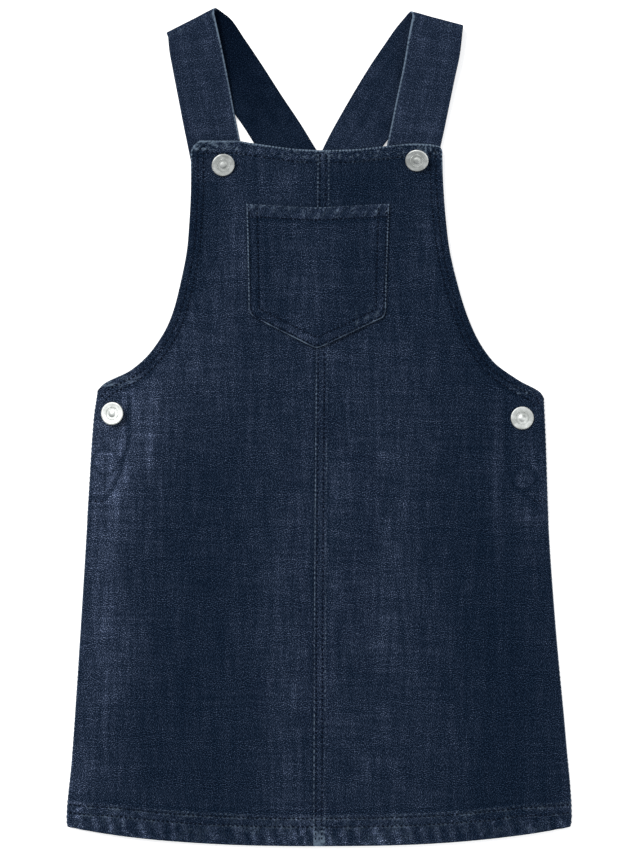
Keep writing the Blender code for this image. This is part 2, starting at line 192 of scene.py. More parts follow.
def uneven(x, y, size, seed, long=1.0):
    """Soft hills from -1 to 1, about this size across and this many times longer along y."""
    heights = np.random.default_rng(seed).uniform(-1, 1, (LATTICE, LATTICE))
    u, v = np.asarray(x, float) / size + 500.0, np.asarray(y, float) / (size * long) + 500.0
    u, v = np.broadcast_arrays(u, v)
    i, j = np.floor(u).astype(int), np.floor(v).astype(int)
    s, t = smooth(u - i), smooth(v - j)
    i0, j0, i1, j1 = i % LATTICE, j % LATTICE, (i + 1) % LATTICE, (j + 1) % LATTICE
    low = heights[i0, j0] * (1 - s) + heights[i1, j0] * s
    high = heights[i0, j1] * (1 - s) + heights[i1, j1] * s
    return low * (1 - t) + high * t


def graded(*runs):
    """Places along a line, from runs of (start, stop, step)."""
    places = []
    for start, stop, step in runs:
        count = max(1, round(abs(stop - start) / step))
        places += list(np.linspace(start, stop, count + 1)[:-1])
    return np.array(places + [runs[-1][1]])


# %% [markdown]
# ## The cut
#
# These are the tables that the solids were made from, so the shells fit them: half widths of
# the front at each height, the armholes, the bib's top edge and the hem's curve. The two
# sides differ by a few millimetres, as a laid garment does.

# %% The cut of the dress
CLOTH = 1.2
STRAP_WALL = 1.5
GAP = 0.3
BACK_TOP = CLOTH
SIDE_SEAM_HEIGHT = STAND_TOP = BACK_TOP + GAP + CLOTH
SIDE_SIGN = {"right": -1, "left": 1}


def listed(kind, *rows):
    """A table whose rows have named columns."""
    return [kind(*row) for row in rows]


Edge = namedtuple("Edge", "y x")
SIDES = {
    "right": listed(Edge, (-288, 181.6), (-283, 182.2), (-240, 178.6), (-110, 169.9), (-50, 166.3), (5, 162.7),
                    (26, 159.8)),
    "left": listed(Edge, (-288, 181.6), (-281, 182.4), (-225, 178.3), (-140, 170.5), (-68, 165.6), (-9, 163.6),
                   (20, 162.3)),
}
ARMHOLES = {
    "right": listed(Edge, (26, 159.8), (31, 155.0), (41, 135.4), (55, 120.4), (77, 107.3), (99, 100.8),
                    (135, 94.3), (178, 92.2), (197, 92.4), (202.3, 90.4), (206.2, 85.7)),
    "left": listed(Edge, (20, 162.3), (24.5, 159.8), (34, 143.3), (48, 124.7), (70, 110.9), (99, 100.8),
                   (135, 92.9), (178, 89.3), (199, 88.6), (202.3, 86.5)),
}
BIB_TOPS = {
    "right": listed(Edge, (199.1, 0), (199.8, 14), (201.8, 31), (204.5, 49), (206.2, 61), (206.2, 85.7)),
    "left": listed(Edge, (199.1, 0), (199.6, 22), (201.8, 45), (204.0, 68), (203.6, 80), (202.3, 86.5)),
}
HEM_MIDDLE, HEM_LIFT, HEM_POWER, HEM_HALF = -301.9, 13.7, 2.5, 181.6
HEM_DRIFT, DRIFT_FROM, DRIFT_OVER = 3.5, 140, 42  # how much the hem narrows, and where
SEAM_LINE = listed(Edge, (HEM_MIDDLE, -4.4), (-100, -3.6), (12, -2.7), (199.1, -1.2))


def x_at(table, y):
    """The x of an outline at this height."""
    return through([e.y for e in table], [e.x for e in table], y)


def edge_x(side, y):
    """Half width of the front at this height."""
    hole = ARMHOLES[side]
    return np.where(np.asarray(y) < hole[0].y, x_at(SIDES[side], y), x_at(hole, y))


def hem_y(x):
    return HEM_MIDDLE + HEM_LIFT * (np.abs(x) / HEM_HALF) ** HEM_POWER


def hem_row_y(x):
    """The line that the hem's rows and its upper edge follow."""
    return hem_y(x) - HEM_DRIFT * smooth((np.abs(x) - DRIFT_FROM) / DRIFT_OVER)


def bib_top_y(side, x):
    table = BIB_TOPS[side]
    return through([e.x for e in table], [e.y for e in table], np.abs(x))


def seam_x(y):
    """Where the centre front seam runs."""
    return np.interp(y, [e.y for e in SEAM_LINE], [e.x for e in SEAM_LINE])


# %% Distances from the edges
def line_points(side, table, step=0.5):
    """Points along a side seam or an armhole, on its own side of the dress."""
    y = np.arange(table[0].y, table[-1].y, step)
    return np.stack([SIDE_SIGN[side] * x_at(table, y), y], axis=1)


def tree_of(points):
    tree = KDTree(len(points))
    for i, (x, y) in enumerate(points):
        tree.insert((x, y, 0.0), i)
    tree.balance()
    return tree


def from_line(tree, x, y):
    """How far each place is from a line of points."""
    flat = [tree.find((a, b, 0.0))[2] for a, b in zip(np.ravel(x), np.ravel(y))]
    return np.reshape(flat, np.shape(x))


ARM_LINES = {side: line_points(side, ARMHOLES[side]) for side in SIDES}
SIDE_LINES = {side: line_points(side, SIDES[side]) for side in SIDES}
ARM_TREES = {side: tree_of(ARM_LINES[side]) for side in SIDES}
SIDE_TREES = {side: tree_of(SIDE_LINES[side]) for side in SIDES}
print("underarms at", {side: ARMHOLES[side][0] for side in SIDES})

# %% [markdown]
# ## How the front lies
#
# The skirt rises softly from its side seams, the bib lies over the crossed straps and the side
# openings lie over their button stands. On top of that come folds, listed as soft ridges and
# troughs. They could come from a cloth simulation, but a garment that someone has smoothed flat
# keeps only broad shallow folds, and a table of them is easier to steer.

# %% Height of the front and its folds
BODY_LIFT, BODY_REACH = 1.6, 36.0
BIB_HEIGHT, BIB_FOOT, BIB_RISE = 3.5, 34, 40  # how high the bib lies, from where, and over what length
BIB_TOP_HEIGHT, TOP_FOOT, TOP_RISE = 5.0, 160, 36
CROSSING = dict(x=0.0, y=161.0, reach_x=58.0, reach_y=72.0, height=6.6)
PLACKET_FOOT, PLACKET_WIDTH, PLACKET_SOFT = -58.0, 33.0, 14
OVER_STAND = STAND_TOP + GAP + CLOTH + 0.2
FOLDS_REACH = 16  # the folds die out this near to the side seams

# Middle, lean from +Y towards -X in degrees, half lengths, and rise.
Fold = namedtuple("Fold", "x y lean along across rise")
FOLDS = listed(
    Fold,
    (-136, -175, -3, 110, 24, 1.5), (-122, -20, 12, 55, 17, 1.2), (-96, 66, -24, 45, 13, 1.0),
    (-66, -170, -2, 95, 22, -0.9), (-22, -150, 0, 110, 14, 0.9), (58, -120, 2, 125, 26, 1.4),
    (128, -130, -5, 105, 20, -0.8), (158, -190, 3, 70, 11, 0.7), (70, 60, 14, 45, 18, 0.7),
    (-148, -30, 60, 12, 6, 0.6), (150, -42, -50, 12, 6, 0.6),
    # smaller creases
    (-104, -6, -40, 26, 5, 0.7), (-118, 6, -52, 18, 4, -0.5), (-88, 34, -30, 22, 4, 0.5),
    (-132, -72, -14, 26, 5, 0.6), (-108, -96, -8, 34, 6, -0.5), (-148, -130, 4, 40, 6, 0.5),
    (-90, -236, 6, 30, 6, 0.5), (-40, -222, -4, 38, 5, 0.4), (-58, -60, 12, 30, 6, -0.4),
    (34, -40, 10, 30, 6, 0.5), (84, -30, 24, 30, 5, 0.6), (104, -8, 38, 24, 5, -0.5), (118, 10, 48, 20, 4, 0.5),
    (96, 40, 30, 22, 5, 0.5), (92, -200, -6, 44, 7, 0.5), (28, -228, 3, 36, 6, -0.4),
    (148, -96, 12, 30, 5, 0.5), (-76, 96, -10, 24, 5, 0.4), (-64, 132, -6, 20, 4, 0.35),
    (72, 118, 8, 24, 5, 0.4), (66, 164, 18, 14, 5, 0.4), (-118, 20, -3, 26, 2.8, 0.5),
    (152, -73, 72, 13, 2.0, -0.6), (152, -67, 80, 15, 3.0, 0.5), (128, -24, 1, 48, 2.6, 0.4),
)


def fold_sum(folds, x, y):
    """What a table of soft folds or patches adds up to."""
    total = 0.0
    for fold in folds:
        lean = math.radians(fold.lean)
        dx, dy = x - fold.x, y - fold.y
        along = (dy * math.cos(lean) - dx * math.sin(lean)) / fold.along
        across = (dx * math.cos(lean) + dy * math.sin(lean)) / fold.across
        total = total + fold.rise * np.exp(-0.5 * (along**2 + across**2))
    return total


def ripple(x, y):
    """The slight unevenness of washed cloth."""
    return 0.22 * uneven(x, y, 17, 3, long=1.8) + 0.09 * uneven(x, y, 6, 4, long=1.5)


def ground_height(x, y):
    """Height of the front's outer face over what it lies on, before its hems and seams."""
    x, y = np.asarray(x, float), np.asarray(y, float)
    inset = np.where(x < 0, edge_x("right", y), edge_x("left", y)) - np.abs(x)
    seamed = SIDE_SEAM_HEIGHT + BODY_LIFT * smooth(inset / BODY_REACH)
    placket = (smooth((y - PLACKET_FOOT + PLACKET_SOFT) / 10)
               * smooth((PLACKET_WIDTH + PLACKET_SOFT - inset) / 12))
    bib = BIB_HEIGHT + (BIB_TOP_HEIGHT - BIB_HEIGHT) * smooth((y - TOP_FOOT) / TOP_RISE)
    height = seamed + (bib - seamed) * smooth((y - BIB_FOOT) / BIB_RISE)
    height = height + (fold_sum(FOLDS, x, y) + ripple(x, y)) * smooth(inset / FOLDS_REACH)
    height = np.maximum(height, height + (OVER_STAND - height) * placket)
    away = np.hypot((x - CROSSING["x"]) / CROSSING["reach_x"], (y - CROSSING["y"]) / CROSSING["reach_y"])
    return height + (CROSSING["height"] - height) * smooth(1.5 - away)


print(f"front over the crossed straps: {float(ground_height(CROSSING['x'], CROSSING['y'])):.1f} mm high")

# %% [markdown]
# ## Hems and the felled seam
#
# A turned hem is three layers thick, so it stands a little proud. Its stitch rows pull it down
# into narrow ditches, and washing makes the cloth between them pucker on the slant, which
# sewers call roping. The centre seam is felled: both allowances are turned to the wearer's
# left under two rows of stitches, with a hard edge on the seam itself. All of it is a sum of
# bands and lines measured from the nearest edge.

# %% Hems, rows and ditches
HEM_BAND, EDGE_BAND, TOP_BAND, SEAM_BAND = 23.0, 9.5, 10.0, 9.0
HEM_RAISE, EDGE_RAISE, SEAM_RAISE = 0.6, 0.4, 0.6
HEM_ROWS = (14.2, 20.2)
EDGE_ROWS = (5.0, 9.0)
TOP_ROW = 9.0
SEAM_ROWS = (1.9, 6.3)
DITCH = 0.28

# %% Places on the front
Places = namedtuple("Places", "arm side up hem down off placket")
Spot = namedtuple("Spot", "x y radius")
PLACKETS = {
    "right": [(-136.8, 21), (-136.4, -5), (-138.2, -16), (-141.5, -24), (-144, -34.5), (-147.6, -42),
              (-151.9, -49.5), (-155, -51.5), (-167, -51.3)],
    "left": [(134.6, 20), (134.6, -16), (136.5, -30), (140, -43), (151, -51)],
}
PLACKET_BARS = {"right": [(-165, -53.3), (-156, -53.3)], "left": [(155, -53), (163, -53)]}
COVERED_BUTTONS = {"right": Spot(-153.7, -24.6, 7.8), "left": Spot(147.6, -37, 6.8)}


def drawn(corners, step=0.6):
    """Points along straight runs between corners."""
    corners = np.array(corners, float)
    reach = np.concatenate([[0], np.cumsum(np.linalg.norm(np.diff(corners, axis=0), axis=1))])
    at = np.arange(0, reach[-1], step)
    return np.stack([np.interp(at, reach, corners[:, i]) for i in (0, 1)], axis=1)


PLACKET_TREES = {side: tree_of(drawn(PLACKETS[side])) for side in SIDES}


def places_on(side, x, y):
    """How far each place is from the armhole, the side seam, the hem and its rows' line, the
    bib's top, the centre seam and the placket's stitches."""
    return Places(from_line(ARM_TREES[side], x, y), from_line(SIDE_TREES[side], x, y), y - hem_y(x),
                  y - hem_row_y(x), bib_top_y(side, x) - y, x - seam_x(y),
                  from_line(PLACKET_TREES[side], x, y))


def above_underarm(side, y):
    """1 beside the armhole, 0 beside the side seam."""
    return smooth((y - ARMHOLES[side][0].y + 2) / 6)


def from_button(side, x, y):
    """How far each place is from the middle of the button under the placket."""
    return np.hypot(x - COVERED_BUTTONS[side].x, y - COVERED_BUTTONS[side].y)


# %% The front's outer face
PLACKET_PULL = {"right": 0.34, "left": 0.16}  # how deep its stitches pull the cloth
ROLL_REACH, ROLL_DROP = 2.4, 1.9  # how the front rolls down at its side seams


def placket_form(side, x, y, at):
    """The placket's stitched groove with its soft lip, and the disc of the button under it."""
    away, radius = from_button(side, x, y), COVERED_BUTTONS[side].radius
    disc = 0.4 * band(away, radius, 2.0) + 0.3 * line(away, radius, 1.3)
    pulled = PLACKET_PULL[side]
    return disc - pulled * line(at.placket, 0, 1.3) + 0.6 * pulled * line(at.placket, 3.0, 1.6)


def roping(along, across, pitch, seed, slant=0.25):
    """Slanted puckers of uneven width, from -1 to 1."""
    at = (along + slant * across) / pitch + 0.5 * uneven(along, 0, 2.6 * pitch, seed)
    return np.sin(2 * math.pi * at)


HEM_ROPE = 0.46  # how high the hem's broad puckers rise


def hem_puckers(x, up):
    """The roping of the lower hem: broad below its rows and fine between them."""
    low = smooth(up / 3) * band(up, HEM_ROWS[0] - 0.6, 3)
    between = smooth((up - HEM_ROWS[0]) / 2) * band(up, HEM_ROWS[1], 2)
    return HEM_ROPE * roping(x, up, 10.6, 11) * low + 0.22 * roping(x, up, 4.6, 12, slant=0.6) * between


def seam_rope(y, off):
    """The puckers between the felled seam's rows."""
    return roping(y, off, 8.3, 13, slant=0.8)


def front_face(side, x, y, at=None):
    """Height of the front's outer face, with its hems, seams and puckers."""
    at = at or places_on(side, x, y)
    above = above_underarm(side, y)
    layers = [band(at.hem, HEM_BAND, 1.6) * HEM_RAISE + 0.2 * line(at.hem, HEM_BAND - 1.0, 1.0),
              band(at.arm, EDGE_BAND + 0.8, 1.6) * EDGE_RAISE * above,
              band(at.down, TOP_BAND, 1.6) * EDGE_RAISE]
    seam = [-0.3 * line(at.off, 0, 1.4)]
    if side == "left":
        layers.append(band(at.off, SEAM_BAND, 1.6) * SEAM_RAISE + 0.25 * line(at.off, 0.8, 0.7))
        seam = [-DITCH * lines(at.off, SEAM_ROWS, 0.75),
                0.16 * seam_rope(y, at.off) * smooth((at.off - 2) / 1.5) * band(at.off, 7.4, 1.6)]
    rolled = 1 - np.sqrt(1 - (1 - np.clip(at.side / ROLL_REACH, 0, 1)) ** 2)
    # each is how much, where, and within what limits
    return sum([
        ground_height(x, y), np.maximum.reduce(layers), *seam,
        hem_puckers(x, at.hem), placket_form(side, x, y, at),
        -DITCH * lines(at.hem, HEM_ROWS), -DITCH * line(at.down, TOP_ROW, 0.8),
        -DITCH * lines(at.arm, EDGE_ROWS) * above,
        0.16 * roping(x, at.down, 7.1, 14, slant=0.5) * smooth(at.down / 2) * band(at.down, 8.0, 2),
        0.13 * roping(y, at.arm, 8.7, 15, slant=0.5) * smooth(at.arm / 2) * band(at.arm, 8.4, 2) * above,
        -ROLL_DROP * rolled * (1 - above),
    ])


# %% [markdown]
# ## A cloth shell
#
# Every panel becomes a closed wall: its outer face, the same face moved in by the cloth's
# thickness, and a rim between them. Solidify would give a square rim. Worn denim has round
# folded edges, so the wall is drawn here by hand, and thins in a half round as it nears its
# rim. Each point also carries two numbers that the dye reads: how much paler or deeper the
# cloth is there, in halvings and doublings, from its dye and from painted light and shade,
# and how worn its surface is.

# %% Making a shell
THIN_RIM = 0.2  # the share of its thickness that a wall keeps at its very edge


def outward(grid):
    """Unit normals of a grid of points."""
    across, upward = np.gradient(grid, axis=1), np.gradient(grid, axis=0)
    normal = np.cross(across, upward)
    return normal / np.maximum(np.linalg.norm(normal, axis=2, keepdims=True), 1e-9)


def grid_faces(rows, columns):
    """Quads of the outer face, the inner face and the rim, all facing outwards."""
    index = np.arange(rows * columns).reshape(rows, columns)
    inner = index + rows * columns
    a, b, c, d = index[:-1, :-1], index[:-1, 1:], index[1:, 1:], index[1:, :-1]
    quads = [np.stack([a, b, c, d], -1), np.stack([a, d, c, b], -1) + rows * columns]
    quads += [np.stack([inner[0, :-1], inner[0, 1:], index[0, 1:], index[0, :-1]], -1),
              np.stack([index[-1, :-1], index[-1, 1:], inner[-1, 1:], inner[-1, :-1]], -1),
              np.stack([inner[:-1, -1], inner[1:, -1], index[1:, -1], index[:-1, -1]], -1),
              np.stack([index[:-1, 0], index[1:, 0], inner[1:, 0], inner[:-1, 0]], -1)]
    return np.concatenate([each.reshape(-1, 4) for each in quads])


def shell(name, outer, wall, rim, weave, fade, wear, material):
    """A closed cloth wall under a grid of points on its outer face.

    rim is each point's distance from the nearest edge, and weave its place along and across the
    threads."""
    normal, half = outward(outer), wall / 2
    keep = np.clip(np.sqrt(1 - (1 - np.clip(rim / half, 0, 1)) ** 2), THIN_RIM, 1)[..., None] * half
    points = np.concatenate([(outer - normal * (half - keep)).reshape(-1, 3),
                             (outer - normal * (half + keep)).reshape(-1, 3)])
    mesh = bpy.data.meshes.new(name)
    faces = grid_faces(*outer.shape[:2])
    mesh.from_pydata((points * MM).tolist(), [], faces.tolist())
    for label, values in (("fade", fade), ("wear", wear)):
        values = np.tile(np.broadcast_to(values, outer.shape[:2]).reshape(-1), 2).astype(np.float32)
        mesh.attributes.new(label, "FLOAT", "POINT").data.foreach_set("value", values)
    threads = np.tile(weave.reshape(-1, 2), (2, 1))[faces.reshape(-1)] * MM
    mesh.uv_layers.new(name="cloth").data.foreach_set("uv", threads.astype(np.float32).reshape(-1))
    mesh.shade_smooth()
    mesh.materials.append(material)
    print(f"{name}: {2 * len(faces)} triangles")
    return linked(name, mesh)


# %% [markdown]
# ## Node trees in a few lines
#
# A node tree can be wired by hand in the editor, but a script keeps it in order and can repeat
# it. Each helper here adds one node with its settings and its links. The same few serve the
# shader groups and the Geometry Nodes trees.

# %% Helpers for node trees
def joined(tree, kind, inputs=(), **settings):
    """A node of this kind with its settings, its inputs linked or set."""
    node = tree.nodes.new(kind)
    for key, value in settings.items():
        setattr(node, key, value)
    feed(tree, node, dict(inputs))
    return node


def sums(tree, operation, first, second=0.0, third=0.0):
    """One Math node."""
    return joined(tree, "ShaderNodeMath", {0: first, 1: second, 2: third}, operation=operation).outputs[0]


def remap(tree, value, low, high):
    """The value as a share of the way from low to high, with soft ends."""
    return joined(tree, "ShaderNodeMapRange", {"Value": value, "From Min": low, "From Max": high},
                  interpolation_type="SMOOTHSTEP").outputs["Result"]


def blend_colors(tree, factor, first, second):
    """The second colour over the first, by this share."""
    return joined(tree, "ShaderNodeMix", {0: factor, 6: first, 7: second}, data_type="RGBA").outputs[2]


def new_tree(name, kind, inputs, outputs):
    """A node tree with these named sockets, and its input and output nodes.

    Each socket is its label and kind, and may have a default."""
    tree = bpy.data.node_groups.new(name, kind)
    for way, sockets in (("INPUT", inputs), ("OUTPUT", outputs)):
        for label, socket_kind, *default in sockets:
            socket = tree.interface.new_socket(label, in_out=way, socket_type="NodeSocket" + socket_kind)
            if default:
                socket.default_value = default[0]
    return tree, tree.nodes.new("NodeGroupInput"), tree.nodes.new("NodeGroupOutput")


# %% [markdown]
# ## Denim
#
# Denim is a twill: indigo warp threads over a white weft. A picture of denim would repeat and
# would hold its own light. So one node group works out the colour and a height for the bump
# from the threads' own coordinates, for every material here. The slanted ribs are in the height
# alone. The colour is a fine grain of pale specks, with slubs up and across where threads are
# uneven, and slow clouds. Each speck's crest is also painted paler and the threads around it
# deeper, a painted highlight and shade of the weave. Washing takes the dye off high edges first,
# and the two numbers that each point carries move the cloth from deep to worn. The first of
# them also holds painted light and shade.

# %% The denim weave group
MM_IN_METRE = 1000.0
TWILL = (0.694, 0.43)  # turns of the twill's ribs in a millimetre, across and up
# the specks' painted highlight and shade, in doublings, and the share of it that red, green and blue take
SPECK_SHADING = 6.8  # how strongly the specks stand out, in doublings
CREST_SHADING_SHARES = {"X": 1.1, "Y": 1.0, "Z": 0.88}  # how much of a crest's lift red, green and blue take


def patterned(tree, where, scale, detail=2.0, rough=0.6, stretch=(1, 1, 1)):
    """Noise on the threads' coordinates, in millimetres."""
    place = joined(tree, "ShaderNodeMapping", {"Vector": where, "Scale": stretch}).outputs[0]
    return joined(tree, "ShaderNodeTexNoise", {"Vector": place, "Scale": scale, "Detail": detail,
                                               "Roughness": rough}, noise_dimensions="2D").outputs["Fac"]


def denim_group():
    tree, given, made = new_tree(
        "denim_weave", "ShaderNodeTree",
        [("Threads", "Vector"), ("Dye", "Color"), ("Weft", "Color"), ("Worn", "Color"),
         ("Weft Share", "Float"), ("Fade", "Float"), ("Wear", "Float"), ("Contrast", "Float")],
        [("Color", "Color"), ("Height", "Float"), ("Roughness", "Float")])
    take, calc = given.outputs, partial(sums, tree)
    sized = joined(tree, "ShaderNodeVectorMath", {0: take["Threads"], "Scale": MM_IN_METRE},
                   operation="SCALE").outputs[0]
    split = joined(tree, "ShaderNodeSeparateXYZ", {0: sized}).outputs
    noise = partial(patterned, tree, sized)
    drift = noise(0.12, detail=1.0)
    turns = calc("MULTIPLY_ADD", split[0], TWILL[0], calc("MULTIPLY", split[1], TWILL[1]))
    ribs = calc("SINE", calc("MULTIPLY", calc("MULTIPLY_ADD", drift, 2.0, turns), 2 * math.pi))
    speck = noise(1.0, detail=0.0, stretch=(1.7, 1.35, 1))
    warp_slub = noise(1.0, detail=3.0, stretch=(0.25, 0.03, 1))
    weft_slub = noise(1.0, detail=2.0, stretch=(0.03, 0.3, 1))
    cloud = noise(0.055, detail=3.0)

    # how much of the weft shows, in doublings, with each point's tone and its painted light and shade
    tone = 0.0
    for value, weight in ((speck, 2.0), (warp_slub, 3.4), (weft_slub, 2.4), (cloud, 0.6)):
        tone = calc("MULTIPLY_ADD", calc("SUBTRACT", value, 0.5), weight, tone)
    tone = calc("MULTIPLY_ADD", tone, take["Contrast"], take["Fade"])
    showing = calc("MULTIPLY", calc("POWER", 2.0, tone), take["Weft Share"])
    dyed_and_shaded = blend_colors(tree, calc("MINIMUM", showing, 1.0), take["Dye"], take["Weft"])

    # each speck's crest is painted paler than the threads around it, a painted highlight and shade
    # of the weave, and the crests are dimmer where the dye is deep
    crest = calc("MULTIPLY", calc("SUBTRACT", speck, 0.5), SPECK_SHADING)
    deep = calc("MINIMUM", calc("ADD", take["Fade"], 1.2), 0.0)
    deep = calc("MULTIPLY_ADD", deep, 0.3, -0.5)
    crest = calc("MULTIPLY_ADD", crest, take["Contrast"], deep)
    lift = joined(tree, "ShaderNodeCombineXYZ",
                  {axis: calc("POWER", 2.0, calc("MULTIPLY", crest, share))
                   for axis, share in CREST_SHADING_SHARES.items()}).outputs[0]
    dyed_and_shaded = joined(tree, "ShaderNodeVectorMath", {0: dyed_and_shaded, 1: lift}, operation="MULTIPLY").outputs[0]

    # rubbed places lose their dye in crumbs
    rubbed = noise(0.8, detail=3.0, rough=0.8)
    worn = calc("MULTIPLY_ADD", take["Wear"], 1.9, calc("MULTIPLY", rubbed, -1.15))
    worn = remap(tree, worn, 0.0, 1.0)
    color = blend_colors(tree, worn, dyed_and_shaded, take["Worn"])
    height = calc("MULTIPLY_ADD", ribs, 0.22, speck)
    height = calc("MULTIPLY_ADD", warp_slub, 0.6, height)
    height = calc("MULTIPLY_ADD", weft_slub, 0.5, height)
    rough = calc("MULTIPLY_ADD", worn, -0.08, 0.93)
    feed(tree, made, {"Color": color, "Height": height, "Roughness": rough})
    return tree


DENIM_WEAVE = denim_group()
print(f"{DENIM_WEAVE.name}: {len(DENIM_WEAVE.nodes)} nodes")

# %% [markdown]
# ## The cloths
#
# Body and straps are the same denim, but the straps were cut from a paler roll and have been
# rubbed more. Both materials use the weave group and the same dye, each with its own share of
# weft. The height goes through a Bump node, so the threads catch the light without being
# modelled one by one.

# %% Denim for the body and the straps
INDIGO = (0.0045, 0.0107, 0.0235, 1)
WEFT_PALE = (0.222, 0.293, 0.488, 1)
WORN_BLUE = (0.12, 0.165, 0.22, 1)


def denim(name, weft_share, contrast=1.0):
    """A denim that shows this share of its weft, with this much contrast in its grain."""
    material, tree, shader = new_material(name)
    threads = joined(tree, "ShaderNodeUVMap", uv_map="cloth").outputs[0]
    # each point's tone with its painted light and shade, and its wear
    fade, wear = (joined(tree, "ShaderNodeAttribute", attribute_name=label).outputs["Fac"]
                  for label in ("fade", "wear"))
    weave = joined(tree, "ShaderNodeGroup", {
        "Threads": threads, "Fade": fade, "Wear": wear, "Dye": INDIGO, "Weft": WEFT_PALE, "Worn": WORN_BLUE,
        "Weft Share": weft_share, "Contrast": contrast}, node_tree=DENIM_WEAVE).outputs
    bump = joined(tree, "ShaderNodeBump", {"Height": weave["Height"], "Strength": 0.3, "Distance": 0.0004})
    feed(tree, shader, {"Base Color": weave["Color"], "Roughness": weave["Roughness"],
                        "Normal": bump.outputs[0], "Specular IOR Level": 0.0})
    return material


BODY_DENIM = denim("body_denim", 0.027)
STRAP_CLOTH = denim("strap_cloth", 0.046, contrast=0.8)
print("cloths:", BODY_DENIM.name, STRAP_CLOTH.name)

# %% [markdown]
# ## Where the dye has gone, and painted light and shade
#
# Each patch below is an area made paler or deeper. Part of it is tone that washing and rubbing
# left in the dye. The rest is painted light and shade: paler fold crests and slopes that face the
# key light, and deeper slopes that face away from it or lie in the lee of a seam. It is written
# like a fold, but its last number is in doublings of the colour. The brightest are the strip
# beside the right side seam and its way up to the bib.

# %% Wash patches of the front, partly painted light and shade
WASH_AND_SHADING = listed(
    Fold,
    (-160, -150, -3, 120, 13, 0.9), (-158, -120, -3, 50, 13, 0.4), (-132, -8, -18, 52, 21, 1.45),
    (-101, 60, -24, 62, 13, 0.3), (-76, 50, -20, 20, 14, 0.6), (-118, 14, -4, 30, 3, 0.5),
    (-88, -160, 0, 100, 24, -0.8), (-80, -235, 0, 45, 30, -0.4), (-176, -262, 0, 28, 8, 0.9),
    (-24, -140, 0, 120, 12, 0.45), (-24, -262, 0, 40, 12, 0.5), (4, -120, 0, 130, 9, 0.9),
    (50, -120, 0, 130, 15, 0.5), (40, -252, 0, 45, 16, 0.4), (63, 44, 0, 14, 12, 0.6), (-45, 22, 0, 20, 8, 0.4),
    (100, -95, 0, 55, 15, -0.7), (104, -280, 0, 25, 18, -0.6), (138, -130, 0, 150, 22, -1.5),
    (148, -38, 0, 52, 15, 1.4), (128, -24, 1, 48, 2.6, 1.3), (-156, -2, -4, 26, 8, 0.8),
    (-152, -36, -10, 11, 6, -0.25), (-141.5, -42, -24, 9, 2.2, 0.9), (156, -29, 27, 5, 0.9, 1.3),
    (149, -51, 49, 8, 1.7, -1.1), (152, -66, 80, 14, 3.5, 0.8), (178, -200, 0, 90, 4, 0.8),
    (171, -245, -2, 50, 8, -0.6), (-60, 118, -4, 42, 9, 0.9), (-77, 160, 0, 18, 6, -0.9),
    (-28, 168, 0, 14, 10, 0.6), (24, 170, 0, 14, 15, -1.3), (-2, 66, 0, 9, 6, 1.5), (60, 150, 0, 70, 30, -0.5),
    (-84, 186, 0, 8, 6, 1.3), (-134, -152, 0, 22, 14, 0.9), (55, -78, 0, 16, 8, 0.6), (84, 152, -4, 24, 6, 1.6),
)


def front_fade_and_shade(side, x, y, at):
    """How much paler (+) or deeper (-) the front is, in doublings: dye with painted light and shade."""
    above = above_underarm(side, y)
    coarse = np.maximum.reduce([band(at.hem, HEM_BAND - 1), band(at.down, TOP_BAND),
                                0.8 * band(at.arm, EDGE_BAND)])
    corner = smooth((ARMHOLES[side][0].y + 22 - y) / 14) * above
    beside = -0.8 * band(at.arm, EDGE_BAND) - 0.4 * lines(at.arm, EDGE_ROWS, 0.7)
    away, spot = from_button(side, x, y), COVERED_BUTTONS[side]
    # how strong the placket's painted groove shade and its paler lip are
    placket_groove_shade = 1.9 if side == "right" else 0.7 * (1 + 1.3 * band(np.abs(y - spot.y - 34), 18, 9))
    # the felled seam: painted shade in its stitch ditches and beside its edges, with dye that rubbing has not
    # reached there
    if side == "left":
        seam = [-0.5 * lines(at.off, SEAM_ROWS, 0.7), -0.6 * line(at.off, 10.4, 1.1)]
    else:
        seam = [-0.6 * line(at.off, -1.5, 1.4)]
    return sum([
        # wash patches, partly painted light and shade of the folds, and uneven tone
        fold_sum(WASH_AND_SHADING, x, y), 0.25 * uneven(x, y, 24, 21, long=1.6), 0.3 * uneven(x, y, 5, 22, long=10),
        1.3 * coarse * uneven(x, y, 1.7, 23),
        # the lower hem: paler puckers and band, with painted shade in its stitch ditches and just above its
        # edge
        2.2 * hem_puckers(x, at.hem), 0.5 * band(at.hem, HEM_BAND - 0.5), -0.3 * lines(at.hem, HEM_ROWS),
        -0.7 * line(at.hem, HEM_BAND + 1.6, 1.2),
        # the bib's top: paler puckers, with painted shade in its stitch ditch and just below its band
        -0.3 * line(at.down, TOP_ROW, 0.7), 0.25 * band(at.down, TOP_BAND),
        0.7 * roping(x, at.down, 3.2, 24, slant=0.5) * band(at.down, TOP_ROW - 0.5),
        -0.5 * line(at.down, 11.0, 1.2),
        # the armholes: a deeper band, with painted shade in its stitch ditches and just beyond it, and a paler
        # underarm corner
        (beside - 0.5 * line(at.arm, EDGE_BAND + 1.2, 1.1)) * above,
        corner * (0.9 * band(at.arm, EDGE_BAND) - 1.0 * line(at.arm, EDGE_BAND + 1.2, 1.2)),
        # the placket: painted shade in its stitched groove and a paler lip beside it, and the button under it
        placket_groove_shade * (0.25 * line(at.placket, 3.2, 1.4) - 0.8 * line(at.placket, 0, 1.4)),
        0.6 * band(away, spot.radius, 3), -1.2 * line(away, spot.radius + 1.4, 1.3),
        *seam,
    ])


print("wash patches:", len(WASH_AND_SHADING))

# %% [markdown]
# ## Where the surface is rubbed
#
# Rubbing is narrower than washing. It takes the crests: folded edges, the lips beside rows of
# stitches and the tops of puckers, and it comes and goes with each stitch. It could be painted
# as a mask. Here each rub is a line or a band at a distance from an edge, and the strongest
# wins, so that it follows the cut wherever the edges run.

